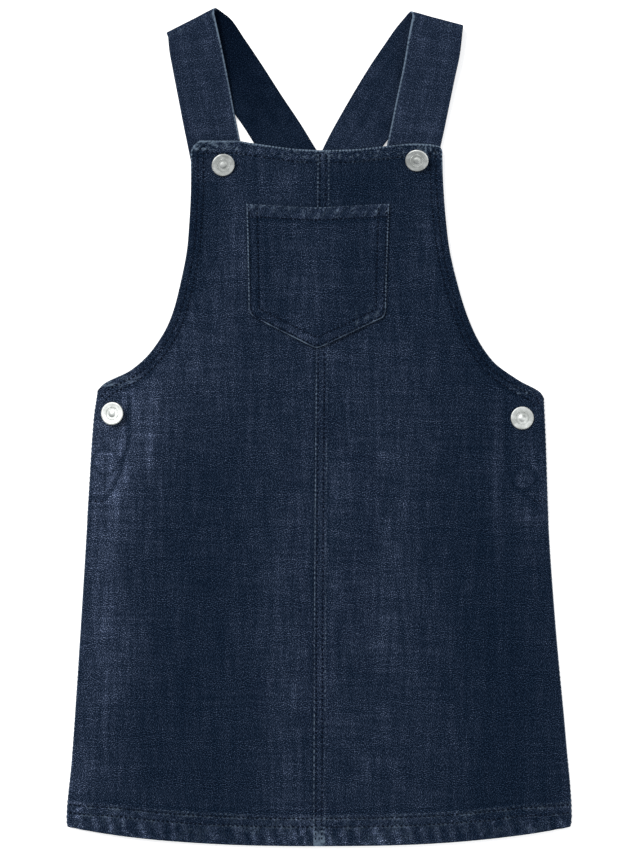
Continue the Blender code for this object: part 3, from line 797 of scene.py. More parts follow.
# %% Wear of the front
def dotted(along, pitch, seed, depth=0.3):
    """Wear that comes and goes with the stitches, up to 1 on their crests."""
    wave = np.sin(2 * math.pi * along / pitch)
    return 1 - depth + depth * wave + 0.15 * uneven(along, 0, 4 * pitch, seed)


def front_wear(side, x, y, at):
    """How far the front's surface is rubbed pale, from 0 to 1: the most of all that rubs it."""
    above, left = above_underarm(side, y), side == "left"
    near_top = smooth((y - 176) / 16)
    patchy = 1 + 0.3 * uneven(x, y, 5, 60)
    crest = np.clip(hem_puckers(x, at.hem) / HEM_ROPE, 0, 1)
    corner = smooth((ARMHOLES[side][0].y + 18 - y) / 12) * above * (0.8 if left else 1.0)
    near_corner = 0.85 + 0.4 * smooth((np.abs(x) - 50) / 20) * (0.5 if left else 1.0)
    # each is how much, where, and how unevenly
    rubs = [
        0.95 * line(at.down, 0.5, 0.9) * dotted(x, 2.4, 31),
        (0.6 + 0.35 * near_top) * line(at.arm, 0.4, 0.8) * above * dotted(y, 3.1, 32),
        0.55 * line(at.hem, HEM_BAND - 0.9, 0.9) * dotted(x, 3.4, 33),
        *(0.44 * line(at.hem, row - 0.6, 1.5) * patchy for row in HEM_ROWS),
        0.3 * band(at.hem, HEM_BAND - 1) * patchy,
        0.5 * line(at.up, 0.2, 0.8) * dotted(x, 5.2, 34),
        0.44 * crest * (0.8 + 0.3 * uneven(x, y, 2.6, 35)),
        0.55 * line(at.side, 0.2, 1.2) * (1 - above),
        0.46 * corner * band(at.arm, EDGE_BAND) * (0.85 + 0.9 * uneven(x, y, 1.2, 40)),
        0.36 * line(at.down, TOP_ROW, 1.8) * patchy,
        0.4 * near_corner * band(at.down, TOP_ROW - 1.5) * (0.8 + 0.9 * uneven(x, y, 1.2, 62)),
    ]
    if left:
        foot = band(np.abs(at.off - 4.4), 4.4, 1.0) * band(at.up, 11.5, 1.5)
        rubs += [
            0.76 * line(at.off, 0.5, 0.65) * dotted(y, 3.3, 36, depth=0.35),
            0.7 * line(at.off, SEAM_BAND - 0.5, 0.75) * dotted(y, 3.4, 37, depth=0.4),
            0.5 * line(at.off, 4.6, 1.5) * np.clip(seam_rope(y, at.off), 0, 1),
            0.6 * foot * (0.95 + 0.4 * uneven(x, y, 1.9, 38)),
        ]
    return np.maximum.reduce(rubs)


# %% [markdown]
# ## The front halves
#
# Each half is one structured grid from the centre seam to the side seam and the armhole. Its
# rows and columns are close together near the hem, the seam and the edges, where stitches,
# ditches and round rims need them, and wider apart on the plain cloth.

# %% The two front halves
FINE, PLAIN = 0.9, 1.75
RIM_STEPS = [0.0, 0.12, 0.32, 0.6]
PLAIN_COLUMNS = 70
HEM_BEND, TOP_BEND = -150.0, 120.0  # rows below and above these heights bend with the hem and the bib's top


def with_rims(start, stop, middle, size=1.0):
    """Places from start to stop, with the rim's close steps at both ends."""
    steps = np.array(RIM_STEPS) / size
    return np.concatenate([start + steps, middle, stop - steps[::-1]])


def hem_share(level):
    """How far a row follows the hem's curve: wholly at its foot, and not at all above HEM_BEND."""
    return smooth((HEM_BEND - level) / (HEM_BEND - SIDES["left"][0].y))


def front_grid(side):
    """Points of a front half before they get their height: rows upwards, columns towards +X."""
    sign, bottom, top = SIDE_SIGN[side], SIDES[side][0].y, ARMHOLES[side][-1].y
    levels = with_rims(bottom, top, graded((bottom + FINE, -264, FINE), (-264, 14, PLAIN), (14, 50, 1.25),
                                           (50, top - 13, 1.6), (top - 13, top - FINE, FINE)))
    levels = np.unique(np.round(levels, 4))
    tucked = [-0.5, -0.2, 0.2, 0.6] if side == "right" else RIM_STEPS
    near_seam = np.concatenate([tucked, graded((FINE, 12, FINE))])
    near_edge = np.concatenate([graded((36, 12, 1.3), (12, FINE, FINE)), RIM_STEPS[::-1]])
    rows = []
    for level in levels:
        seam, edge = float(seam_x(level)), float(edge_x(side, level))
        width = edge - sign * seam
        middle = np.linspace(near_seam[-1], width - near_edge[0], PLAIN_COLUMNS + 2)[1:-1]
        x = seam + sign * np.concatenate([near_seam, middle, width - near_edge])
        top_share = np.clip((level - TOP_BEND) / (top - TOP_BEND), 0, 1)
        y = level + (hem_y(x) - hem_y(HEM_HALF)) * hem_share(level) + (bib_top_y(side, x) - top) * top_share
        rows.append(np.stack([x, y], axis=1)[::sign])
    return np.array(rows)


def front_half(side):
    flat = front_grid(side)
    x, y = flat[..., 0], flat[..., 1]
    at = places_on(side, x, y)
    outer = np.dstack([x, y, front_face(side, x, y, at)])
    edge = np.where(y < ARMHOLES[side][0].y, at.side, at.arm)
    # the right half's centre edge is hidden in the felled seam, so it keeps its full thickness
    centre = np.abs(x - seam_x(y)) if side == "left" else np.full(x.shape, SEAM_BAND)
    rim = np.minimum.reduce([centre, edge, np.abs(at.up), np.abs(at.down)])
    return shell(f"denim_front_{side}", outer, CLOTH, rim, flat, front_fade_and_shade(side, x, y, at),
                 front_wear(side, x, y, at), BODY_DENIM)


fronts = {side: front_half(side) for side in SIDES}

# %% [markdown]
# ## The patch pocket
#
# The pocket is a flat patch with a hem along its mouth, two straight sides and a shallow point.
# It is made from the front's own heights moved out by a gap and a wall, so that it lies on the
# bib without cutting into it, whatever the folds do.

# %% The pocket's outline
PocketRow = namedtuple("PocketRow", "y from_x to_x middle")
POCKET = listed(
    PocketRow,
    (78.6, -46.4, 45.8, -22.6), (81.5, -49.3, 47.6, -19.0), (86.0, -50.7, 48.2, -12.0),
    (100, -50.9, 48.5, -6.0), (118, -51.2, 49.0, -3.0), (136, -51.5, 49.6, -2.5), (149.5, -51.9, 50.1, -2.7),
    (151.5, -51.9, 50.2, -2.8), (160.5, -52.2, 50.4, -2.9),
)
POCKET_HEM = 10.0
POCKET_POINT = 0.485  # where the point is, as a share of the way across
POCKET_ROWS = (1.6, 7.5)


def pocket_place(level, share):
    """Where a place on the pocket lies, from its row's level and its share of the way across."""
    knots = [row.y for row in POCKET]
    start, stop, middle = (through(knots, [getattr(row, key) for row in POCKET], level)
                           for key in ("from_x", "to_x", "middle"))
    peak = np.where(share < POCKET_POINT, share / POCKET_POINT, (1 - share) / (1 - POCKET_POINT))
    peak = peak - 0.03 * np.exp(-((share - POCKET_POINT) / 0.03) ** 2)
    return start + (stop - start) * share, level + middle * peak


def pocket_outline(side_points=160, foot_points=200):
    """Sides and lower edge of the pocket as points, from its mouth's right corner round to the left."""
    levels, shares = np.linspace(POCKET[-1].y, POCKET[0].y, side_points), np.linspace(0, 1, foot_points)
    runs = (pocket_place(levels, 0.0), pocket_place(np.full(foot_points, POCKET[0].y), shares),
            pocket_place(levels[::-1], 1.0))
    return np.concatenate([np.stack([np.broadcast_to(x, np.shape(y)), y], 1) for x, y in runs])


POCKET_LINE = pocket_outline()
POCKET_TREE = tree_of(POCKET_LINE)
print(f"pocket {POCKET[-1].to_x - POCKET[-1].from_x:.1f} mm wide at its mouth")

# %% The pocket's face, its dye with painted shade, and its wear
POCKET_CREASES = listed(
    Fold,
    (27, 84, 4, 14, 2.6, 0.5), (-6, 92, 0, 26, 5, 0.3), (-36, 110, 0, 30, 3, 0.25), (38, 120, 2, 22, 4, 0.25),
    (8, 130, -20, 16, 4, -0.25),
)
# paler and deeper patches of the pocket, in doublings
POCKET_PATCHES = listed(
    Fold,
    (-14, 116, 0, 42, 9, 0.5), (-3, 84, 0, 14, 5, 0.5), (26, 116, 0, 34, 6, -0.7), (-42, 112, 0, 34, 4, -0.5),
)
POCKET_RUBS = listed(
    Fold,
    (27, 80, 0, 10, 1.2, 1.0), (37, 86, -24, 6, 1.6, 0.9), (42, 82, -28, 5, 1.5, 0.9),
    (34, 78, -62, 6, 1.6, 0.75),
)


def pocket_rope(x, down):
    """The puckers of the pocket's hem."""
    return roping(x, down, 10.2, 41, slant=0.7)


def pocket_face(x, y, edge, down):
    """Height of the pocket's outer face."""
    over_seam = SEAM_RAISE * smooth((30 - np.abs(x - seam_x(y) - SEAM_BAND / 2)) / 16)
    z = ground_height(x, y) + over_seam + GAP + CLOTH + 0.15
    z = z + EDGE_RAISE * np.maximum(band(down, POCKET_HEM, 1.6), 0.6 * band(edge, 13, 3))
    z = z + fold_sum(POCKET_CREASES, x, y)
    z = z - DITCH * (line(down, POCKET_HEM - 1, 0.8) + lines(edge, POCKET_ROWS))
    z = z + 0.28 * pocket_rope(x, down) * smooth(down / 2) * band(down, 8.6, 2)
    return z + 0.12 * roping(x + y, edge, 6.7, 42, slant=0.4) * band(edge, 7, 2) * smooth(edge / 2)


def pocket_fade_and_shade(x, y, edge, down, rope):
    """How much paler or deeper the pocket is, in doublings: dye with painted shade."""
    on_left = smooth((-30 - x) / 8) * smooth((y - 84) / 6) * smooth((down - 10) / 4)
    wavy = edge + 0.8 * uneven(y, 0, 7, 47)
    lower = smooth((96 - y) / 8) * band(edge, 8.5, 2)
    return sum([
        0.25 * uneven(x, y, 14, 43, long=1.5), 0.15 * uneven(x, y, 5, 44, long=5),
        0.4 * band(down, POCKET_HEM - 1), fold_sum(POCKET_PATCHES, x, y),
        # the mouth's hem paler in its puckers, with painted shade just below its edge and in the stitch ditches
        0.6 * rope * band(down, POCKET_HEM - 1.5, 2), -1.5 * line(down, POCKET_HEM + 0.8, 1.2),
        -0.5 * lines(edge, [row + 0.4 for row in POCKET_ROWS]) * smooth((down - 10) / 3),
        # painted shade in the wavy grooves inside the left edge, with a paler crest between them
        on_left * (0.85 * line(wavy, 10.3, 1.5) - 0.9 * line(wavy, 6.8, 1.1) - 0.9 * line(wavy, 13.4, 1.3)),
        lower * (0.35 + 1.2 * uneven(x, y, 1.9, 48)),
    ])


def pocket_wear(x, y, edge, down, rope):
    """How far the pocket is rubbed: most along its right side, evenly along its point."""
    worn_edge = 0.95 * smooth((-44 - x) / 4) + 0.84 * smooth((44 + x) / 6)
    along_point = smooth((92 - y) / 6)
    beaded, plain = dotted(x + y, 2.9, 45, depth=0.42), 0.64 + 0.2 * uneven(x, y, 4, 50)
    return np.maximum.reduce([
        worn_edge * line(edge, 0.4, 0.75) * (beaded * (1 - along_point) + plain * along_point),
        0.62 * line(down, 0.4, 0.8) * dotted(x, 3.3, 46),
        0.42 * band(down, 8.6, 2) * (0.75 + 0.25 * rope) * (0.9 + 0.8 * uneven(x, y, 1.3, 49)),
        0.42 * fold_sum(POCKET_RUBS, x, y),
    ])


# %% The pocket
def shares_across(width, step):
    """Shares of the way across a strip of this width, closer together at its two edges."""
    return with_rims(0, 1, graded((FINE / width, 1 - FINE / width, step)), width)


def pocket():
    levels = with_rims(POCKET[0].y, POCKET[-1].y, graded((POCKET[0].y + FINE, POCKET[-1].y - FINE, 1.15)))
    shares = shares_across(POCKET[-1].to_x - POCKET[-1].from_x, step=0.011)
    level, share = np.meshgrid(levels, shares, indexing="ij")
    x, y = pocket_place(level, share)
    edge = from_line(POCKET_TREE, x, y)
    down = pocket_place(np.full_like(share, POCKET[-1].y), share)[1] - y
    outer = np.dstack([x, y, pocket_face(x, y, edge, down)])
    rope = pocket_rope(x, down) * (0.75 + 0.5 * uneven(x, y, 8, 63))
    return shell("denim_pocket", outer, CLOTH, np.minimum(edge, np.abs(down)), np.dstack([x, y]),
                 pocket_fade_and_shade(x, y, edge, down, rope), pocket_wear(x, y, edge, down, rope), BODY_DENIM)


patch = pocket()

# %% [markdown]
# ## The straps
#
# Each strap is a tube of denim pressed flat, behind the bib at its tail, over a soft fold at
# the shoulder, and down to the back, where the two cross. A curve with a bevel would give it
# the wrong section, so it is a ribbon read from a short table of cross-sections. The half
# circle of the fold is worked out between the two lists.

# %% The straps' sections
Section = namedtuple("Section", "outer_x outer_y inner_x inner_y height")
ON_FLOOR = STRAP_WALL / 2
ON_BACK = BACK_TOP + GAP + STRAP_WALL / 2
ON_STRAP = ON_BACK + STRAP_WALL + GAP
FOLD_TOP = 7.5
ROLL_STEPS = 12
SECTION_STEP = 1.5
STRAP_WIDTH = 37.5

STRAP_RIGHT = dict(
    front=listed(Section, (-87.0, 162, -49.8, 169, ON_FLOOR), (-91.0, 184, -53.9, 191, ON_FLOOR),
                 (-95.2, 205, -58.0, 212, 1.0), (-97.8, 218, -60.6, 225, 2.8), (-101.6, 238, -64.3, 245, 4.2),
                 (-105.4, 258, -68.2, 265, 5.7), (-107.7, 271, -71.6, 281, 6.9),
                 (-108.5, 280.1, -75.3, 297.3, FOLD_TOP)),
    back=listed(Section, (-107.7, 280.5, -70.1, 299.5, ON_FLOOR), (-97.5, 268, -63.9, 294.6, ON_FLOOR),
                (-83.5, 253.5, -54.4, 281.0, ON_FLOOR), (-69.8, 237, -41.5, 261.8, ON_FLOOR),
                (-56.5, 219.6, -27.4, 239.8, ON_FLOOR), (-43.2, 198.6, -13.0, 218.2, ON_FLOOR),
                (-30.9, 178.6, -0.7, 198.0, 1.6), (-19.0, 160.0, 11.4, 179.5, ON_BACK),
                (-7.0, 141.6, 23.2, 161.0, ON_BACK), (5.0, 123.0, 35.2, 142.5, ON_BACK)),
    fold_turn=26.6,
)
STRAP_LEFT = dict(
    front=listed(Section, (79.6, 163, 42.6, 170.5, ON_FLOOR), (85.5, 192, 48.1, 199.5, ON_FLOOR),
                 (87.8, 203, 50.4, 210.4, 3.0), (89.9, 212.5, 52.4, 220, 3.4), (93.5, 230, 55.9, 237.5, 4.1),
                 (98.0, 252, 60.6, 259.5, 5.6), (101.5, 269, 64.3, 281, 6.8),
                 (103.3, 285.3, 67.1, 295.0, FOLD_TOP)),
    back=listed(Section, (102.3, 285.5, 62.5, 296.2, ON_FLOOR), (90.0, 268.5, 55.5, 287.8, ON_FLOOR),
                (79.0, 254.0, 47.0, 275.6, ON_FLOOR), (68.0, 240.5, 37.4, 261.4, ON_FLOOR),
                (54.5, 214.3, 21.6, 235.4, ON_FLOOR), (38.7, 192.0, 7.2, 209.5, 2.4),
                (32.6, 180.3, 1.2, 197.2, ON_STRAP), (21.6, 160.0, -9.7, 177.2, ON_STRAP),
                (10.6, 139.8, -20.6, 157.3, ON_STRAP), (2.1, 124.0, -29.2, 141.5, ON_STRAP),
                (-8.0, 105.6, -39.2, 123.4, ON_BACK)),
    fold_turn=-15.0,
)


def half_circle(strap):
    """The sections that carry a strap round its fold."""
    above, below = strap["front"][-1], strap["back"][0]
    radius, middle = (above.height - below.height) / 2, (above.height + below.height) / 2
    turn = math.radians(strap["fold_turn"])
    facing = np.array([-math.sin(turn), math.cos(turn)] * 2)
    start, stop = np.array(above[:4]), np.array(below[:4])
    sections = []
    for i in range(1, ROLL_STEPS):
        share = i / ROLL_STEPS
        place = start + (stop - start) * share + facing * radius * math.sin(math.pi * share)
        sections.append(Section(*place, middle + radius * math.cos(math.pi * share)))
    return sections


def lengths(sections):
    """How far along the strap each section's middle is."""
    middles = np.array([[(s.outer_x + s.inner_x) / 2, (s.outer_y + s.inner_y) / 2, s.height] for s in sections])
    return np.concatenate([[0], np.cumsum(np.linalg.norm(np.diff(middles, axis=0), axis=1))])


def close_sections(sections):
    """The same run of sections, read through a smooth curve at every step."""
    along = lengths(sections)
    at = np.linspace(0, along[-1], max(2, round(along[-1] / SECTION_STEP) + 1))
    columns = [through(along, [section[i] for section in sections], at) for i in range(5)]
    return listed(Section, *np.stack(columns, 1))


# %% The straps
def strap(side, shape, fade_front, fade_back, shade, ridge, fold_wear):
    """A strap. Its inner edge is where the tube was closed, and is worn.

    It takes the tone of its front run, the tone and painted shade of its back run, how deep the
    painted shade just behind the fold is, and how worn its inner edge and its fold are."""
    front, back = close_sections(shape["front"]), close_sections(shape["back"])
    sections = front + half_circle(shape) + back
    along = lengths(sections)
    shares = shares_across(STRAP_WIDTH, step=1.35 / STRAP_WIDTH)
    outer_edge = np.array([[s.outer_x, s.outer_y, s.height] for s in sections])[:, None]
    inner_edge = np.array([[s.inner_x, s.inner_y, s.height] for s in sections])[:, None]
    middle = outer_edge + (inner_edge - outer_edge) * shares[None, :, None]
    from_outer = np.broadcast_to(shares * STRAP_WIDTH, middle.shape[:2])
    from_inner = STRAP_WIDTH - from_outer
    row_along = np.broadcast_to(along[:, None], middle.shape[:2])
    if side == "left":
        middle, from_outer, from_inner = middle[:, ::-1], from_outer[:, ::-1], from_inner[:, ::-1]
    swell = 0.18 * uneven(from_outer, row_along, 11, 51, long=2.2)
    swell = swell * smooth(from_outer / 6) * smooth(from_inner / 6)
    face = middle + outward(middle) * (STRAP_WALL / 2 + swell)[..., None]
    rim = np.minimum.reduce([from_outer, from_inner, row_along, along[-1] - row_along])
    fold_place = along[len(front)] - 1.0
    past_fold = smooth((row_along - fold_place - 2.5) / 9)
    # painted shade on the back run just behind the fold, where the front run shades it
    shaded = shade * past_fold * np.exp(-np.clip(row_along - fold_place, 0, None) / 48)
    fade = sum([
        fade_front + (fade_back - fade_front) * past_fold, -shaded,
        0.18 * uneven(from_outer, row_along, 15, 52, long=1.8),
        (0.12 + 0.6 * past_fold) * uneven(from_outer, row_along, 8, 53),
        -0.6 * past_fold * line(from_outer, 1.0, 1.6),
    ])
    wear = np.maximum.reduce([
        ridge * line(from_inner, 0.6, 0.8) * dotted(row_along, 3.3, 54, depth=0.15) * (1 - past_fold),
        0.5 * line(from_outer, 0.4, 0.8) * dotted(row_along, 2.9, 56) * (1 - past_fold),
        fold_wear * line(row_along, fold_place, 3.0) * (0.9 + 0.5 * uneven(from_outer, row_along, 2.5, 55)),
    ])
    weave = np.dstack([from_outer, row_along])
    print(f"strap_{side}: {along[-1]:.0f} mm long, folded after {fold_place:.0f} mm")
    return shell(f"denim_strap_{side}", face, STRAP_WALL, rim, weave, fade, wear, STRAP_CLOTH)


straps = {
    # the back runs hold painted shade, deepest on the right strap just behind its fold
    "right": strap("right", STRAP_RIGHT, fade_front=0.25, fade_back=-1.25, shade=5.0, ridge=0.9,
                   fold_wear=0.36),
    "left": strap("left", STRAP_LEFT, fade_front=0.35, fade_back=-0.1, shade=0.8, ridge=0.95,
                  fold_wear=0.34),
}

# %% [markdown]
# ## The back and the button stands
#
# The back lies face down under everything, in one piece, with deeper armholes. The stands are
# the strips at the side openings that carry the side buttons. They hardly show, so their
# grids are wider, but they get the same cloth, and the back a paler hem with painted shade
# along its stitch rows.

# %% The back panel and the stands
BACK_INSET, BACK_ROLL = 0.8, 2.6
BACK_HALF = 165  # about half of the back's width
BACK_ARMHOLE = listed(Edge, (24, 160.0), (32, 146), (42, 122), (56, 101), (85, 74), (120, 54), (150, 44))
STAND_INSET, STAND_HEAD = 1.6, 21.0
STAND_COLUMNS = 22


def back_half_width(side, level):
    seam_top = ARMHOLES[side][0].y - 0.01
    if level < BACK_ARMHOLE[0].y:
        return float(edge_x(side, min(level, seam_top))) - BACK_ROLL
    return min(float(x_at(BACK_ARMHOLE, level)), float(edge_x(side, level)) - BACK_ROLL)


def back_panel():
    head = BACK_ARMHOLE[-1].y
    levels = graded((-288, -264, 2.0), (-264, 18, 4.0), (18, 60, 2.0), (60, head, 3.2))
    shares = np.concatenate([[-1, -0.995, -0.988], np.linspace(-0.975, 0.975, 88), [0.988, 0.995, 1]])
    rows = []
    for level in levels:
        right, left = back_half_width("right", level), back_half_width("left", level)
        x = np.where(shares < 0, shares * right, shares * left)
        y = level + BACK_INSET * hem_share(level) + (hem_y(x) - hem_y(HEM_HALF)) * hem_share(level)
        rows.append(np.stack([x, y, np.full_like(x, BACK_TOP)], axis=1))
    outer = np.array(rows)
    x, y = outer[..., 0], outer[..., 1]
    up = y - hem_y(x) - BACK_INSET
    edges = np.broadcast_to((1 - np.abs(shares)) * BACK_HALF, x.shape)
    rim = np.minimum.reduce([edges, np.abs(up), head - y])
    # a paler hem, and painted shade along the hem's stitch rows, with dye that rubbing has not reached there
    fade = 0.2 * uneven(x, y, 22, 61, long=1.6) + 0.35 * band(up, HEM_BAND) - 0.8 * lines(up, HEM_ROWS, 1)
    wear = 0.45 * line(up, 0.3, 1.2)
    return shell("denim_back", outer, CLOTH, np.maximum(rim, 0), np.dstack([x, y]), fade, wear, BODY_DENIM)


def button_stand(side):
    sign = SIDE_SIGN[side]
    inner = float(edge_x(side, PLACKET_FOOT)) - PLACKET_WIDTH
    rows = []
    for y in graded((PLACKET_FOOT, STAND_HEAD, 1.6)):
        outer = float(edge_x(side, min(y, ARMHOLES[side][0].y - 1))) - STAND_INSET
        x = sign * np.linspace(inner, outer, STAND_COLUMNS)
        rows.append(np.stack([x, np.full_like(x, y), np.full_like(x, STAND_TOP)], axis=1)[::sign])
    grid = np.array(rows)
    y = grid[..., 1]
    rim = np.minimum(np.minimum(y - PLACKET_FOOT, STAND_HEAD - y), 4.0)
    return shell(f"denim_stand_{side}", grid, CLOTH, rim, grid[..., :2], -0.3, 0.0, BODY_DENIM)


back = back_panel()
stands = {side: button_stand(side) for side in SIDES}

# %% [markdown]
# ## Topstitching
#
# A stitch is a short arch of thread between two needle holes, repeated some thousands of times
# along a line. That is work for Geometry Nodes: the seam lines go in as edges, are cut into
# equal lengths, and a small arch of thread is set on each point along the line. The tree ends
# with real geometry and its own material, and the result is kept as a plain mesh.

# %% Thread and the stitch tree
def object_noise(tree, where, scale, detail):
    """Noise on a piece's own coordinates, in metres."""
    noise = joined(tree, "ShaderNodeTexNoise", {"Vector": where, "Scale": scale, "Detail": detail})
    return noise.outputs["Fac"]


def shaded_thread_material():
    material, tree, shader = new_material("topstitch_thread")
    where = joined(tree, "ShaderNodeTexCoord").outputs["Object"]
    share = remap(tree, object_noise(tree, where, 260.0, 2.0), 0.35, 0.7)
    # navy thread like the cloth, painted much darker to stand for the shade of its needle holes and ditches
    color = blend_colors(tree, share, (0.001, 0.003, 0.009, 1), (0.004, 0.008, 0.019, 1))
    feed(tree, shader, {"Base Color": color, "Roughness": 0.7, "Specular IOR Level": 0.05})
    return material


def geometry_step(tree, kind, inputs=(), **settings):
    """What one more Geometry Nodes step makes."""
    return joined(tree, "GeometryNode" + kind, inputs, **settings).outputs[0]


def stitch_tree():
    """Arches of thread along a mesh's edges."""
    tree, given, made = new_tree(
        "topstitch", "GeometryNodeTree",
        [("Geometry", "Geometry"), ("Pitch", "Float"), ("Stitch Length", "Float", 0.0014),
         ("Thread", "Float", 0.0010), ("Arch", "Float", 0.0003), ("Seed", "Int"), ("Material", "Material")],
        [("Geometry", "Geometry")])
    take, add = given.outputs, partial(geometry_step, tree)
    times, point = partial(sums, tree, "MULTIPLY"), partial(joined, tree, "ShaderNodeCombineXYZ")
    run = add("MeshToCurve", {"Mesh": take["Geometry"]})
    spaced = add("ResampleCurve", {"Curve": run, "Length": take["Pitch"]}, mode="LENGTH")
    half = times(take["Stitch Length"], 0.5)
    back_end = point({"X": times(half, -1.0)}).outputs[0]
    front_end, crown = point({"X": half}).outputs[0], point({"Z": take["Arch"]}).outputs[0]
    arch = add("CurveQuadraticBezier", {"Resolution": 4, "Start": back_end, "Middle": crown, "End": front_end})
    ring = add("CurvePrimitiveCircle", {"Resolution": 5, "Radius": times(take["Thread"], 0.5)}, mode="RADIUS")
    body = add("CurveToMesh", {"Curve": arch, "Profile Curve": ring, "Fill Caps": True})
    aimed = joined(tree, "FunctionNodeAlignRotationToVector", {"Vector": add("InputTangent")}, axis="X")
    level = joined(tree, "FunctionNodeAlignRotationToVector",
                   {"Rotation": aimed.outputs[0], "Vector": (0, 0, 1)}, axis="Z", pivot_axis="X")
    size = joined(tree, "FunctionNodeRandomValue",
                  {0: (0.86, 0.85, 0.8), 1: (1.06, 1.2, 1.2), "Seed": take["Seed"]}, data_type="FLOAT_VECTOR")
    placed = add("InstanceOnPoints", {"Points": spaced, "Instance": body, "Rotation": level.outputs[0],
                                      "Scale": size.outputs[0]})
    real = add("RealizeInstances", {"Geometry": placed})
    soft = add("SetShadeSmooth", {"Geometry": real})
    finished = add("SetMaterial", {"Geometry": soft, "Material": take["Material"]})
    tree.links.new(finished, made.inputs["Geometry"])
    return tree


SHADED_THREAD = shaded_thread_material()
STITCH_TREE = stitch_tree()
print(f"{STITCH_TREE.name}: {len(STITCH_TREE.nodes)} nodes")


# %% Running a tree along seam lines
def made_by(tree, name, mesh, **values):
    """Runs a Geometry Nodes tree on a mesh with these inputs and returns the result as a plain object."""
    source = linked(name + "_source", mesh)
    modifier = source.modifiers.new(name, "NODES")
    modifier.node_group = tree
    for item in tree.interface.items_tree:
        key = item.name.replace(" ", "_").lower()
        if item.in_out == "INPUT" and key in values:
            modifier[item.identifier] = values[key]
    graph = bpy.context.evaluated_depsgraph_get()
    result = bpy.data.meshes.new_from_object(source.evaluated_get(graph), depsgraph=graph)
    result.name = name
    bpy.data.objects.remove(source)
    return linked(name, result)


def stitched(name, runs, pitch=3.3, seed=1):
    """Stitches along runs of points in millimetres."""
    mesh = bpy.data.meshes.new(name)
    points, edges = [], []
    for run in runs:
        first = len(points)
        points += (np.asarray(run) * MM).tolist()
        edges += [(first + i, first + i + 1) for i in range(len(run) - 1)]
    mesh.from_pydata(points, edges, [])
    obj = made_by(STITCH_TREE, name, mesh, pitch=pitch * MM, seed=seed, material=SHADED_THREAD)
    print(f"{name}: {len(obj.data.polygons)} faces")
    return obj


# %% [markdown]
# ## Where the stitches run
#
# Two rows hold the lower hem, one the bib's top, two each armhole and two the felled seam. The
# rows follow lines of equal distance from the edge, lie on the front's own face, and stop
# where another piece covers them.

# %% The rows on the front
THREAD_LIFT = 0.2
HEM_SEWN_AT, TOP_SEWN_AT, TOP_SEWN_TO = -290, 195, 80
SEAM_RUNS = [(-296, 52, 200), (160, 195, 24)]  # below the pocket and above it: from, to and points


def on_front(side, x, y):
    x, y = np.asarray(x, float), np.asarray(y, float)
    return np.stack([x, y, front_face(side, x, y) + THREAD_LIFT], axis=1)


def moved_in(points, distance, sign):
    """A line of points moved sideways by a distance."""
    heading = np.gradient(points, axis=0)
    heading = heading / np.linalg.norm(heading, axis=1, keepdims=True)
    return points + sign * distance * np.stack([-heading[:, 1], heading[:, 0]], axis=1)


def front_runs(side):
    sign = SIDE_SIGN[side]
    from_seam = sign * (SEAM_BAND + 1 if side == "left" else 0.8)
    runs = []
    for row in HEM_ROWS:
        x = np.linspace(float(seam_x(HEM_SEWN_AT)) + from_seam, sign * (HEM_HALF - 2.5), 150)
        runs.append(on_front(side, x, hem_row_y(x) + row))
    for row in EDGE_ROWS:
        x, y = moved_in(ARM_LINES[side], row, sign).T
        free = (np.abs(x) < edge_x(side, y) - 1.5) & (y < bib_top_y(side, x) - 3)
        runs.append(on_front(side, x[free][::2], y[free][::2]))
    x = np.linspace(float(seam_x(TOP_SEWN_AT)) + from_seam, sign * TOP_SEWN_TO, 70)
    runs.append(on_front(side, x, bib_top_y(side, x) - TOP_ROW))
    runs.append(on_front(side, *drawn(PLACKET_BARS[side]).T))
    if side == "left":
        for start, stop, count in SEAM_RUNS:
            y = np.linspace(start, stop, count)
            runs += [on_front(side, seam_x(y) + row, y) for row in SEAM_ROWS]
    return runs


topstitching = {side: stitched(f"stitches_front_{side}", front_runs(side), seed=7) for side in SIDES}

# %% The rows on the pocket
MOUTH, MOUTH_WIDTH = 158, 102  # how high up the dress the pocket's mouth is, and how wide
MOUTH_EDGE = 0.015  # the share of it without stitches at each end
SEW_POINTS = 90


def pocket_runs():
    runs = []
    for row in POCKET_ROWS:
        inner = moved_in(POCKET_LINE, row, 1)
        spread = np.linalg.norm(np.diff(inner, axis=0), axis=1)
        inner = inner[np.concatenate([[True], spread > 0.02])]
        near = np.abs(from_line(POCKET_TREE, inner[:, 0], inner[:, 1]) - row) < 0.25
        x, y = inner[near & (inner[:, 1] < MOUTH - 1)].T
        runs.append(np.column_stack([x, y, pocket_face(x, y, np.full(len(x), row), MOUTH - y) + THREAD_LIFT]))
    share = np.linspace(MOUTH_EDGE, 1 - MOUTH_EDGE, SEW_POINTS)
    x, y = pocket_place(np.full(SEW_POINTS, POCKET[-1].y), share)
    y = y - POCKET_HEM + 1
    edge = np.minimum(share, 1 - share) * MOUTH_WIDTH
    z = pocket_face(x, y, edge, np.full(SEW_POINTS, POCKET_HEM - 1.0)) + THREAD_LIFT
    return runs + [np.column_stack([x, y, z])]


topstitching["pocket"] = stitched("stitches_pocket", pocket_runs(), pitch=3.0, seed=9)

# %% [markdown]
# ## Tack buttons
#
# A tack button is pressed from sheet metal: a shallow dish with a rolled rim, a domed stud in
# its middle, and a neck riveted through the cloth. It is round, so half of its section is
# turned about its axis. The dish carries a plain ring of beads, made by Geometry Nodes.

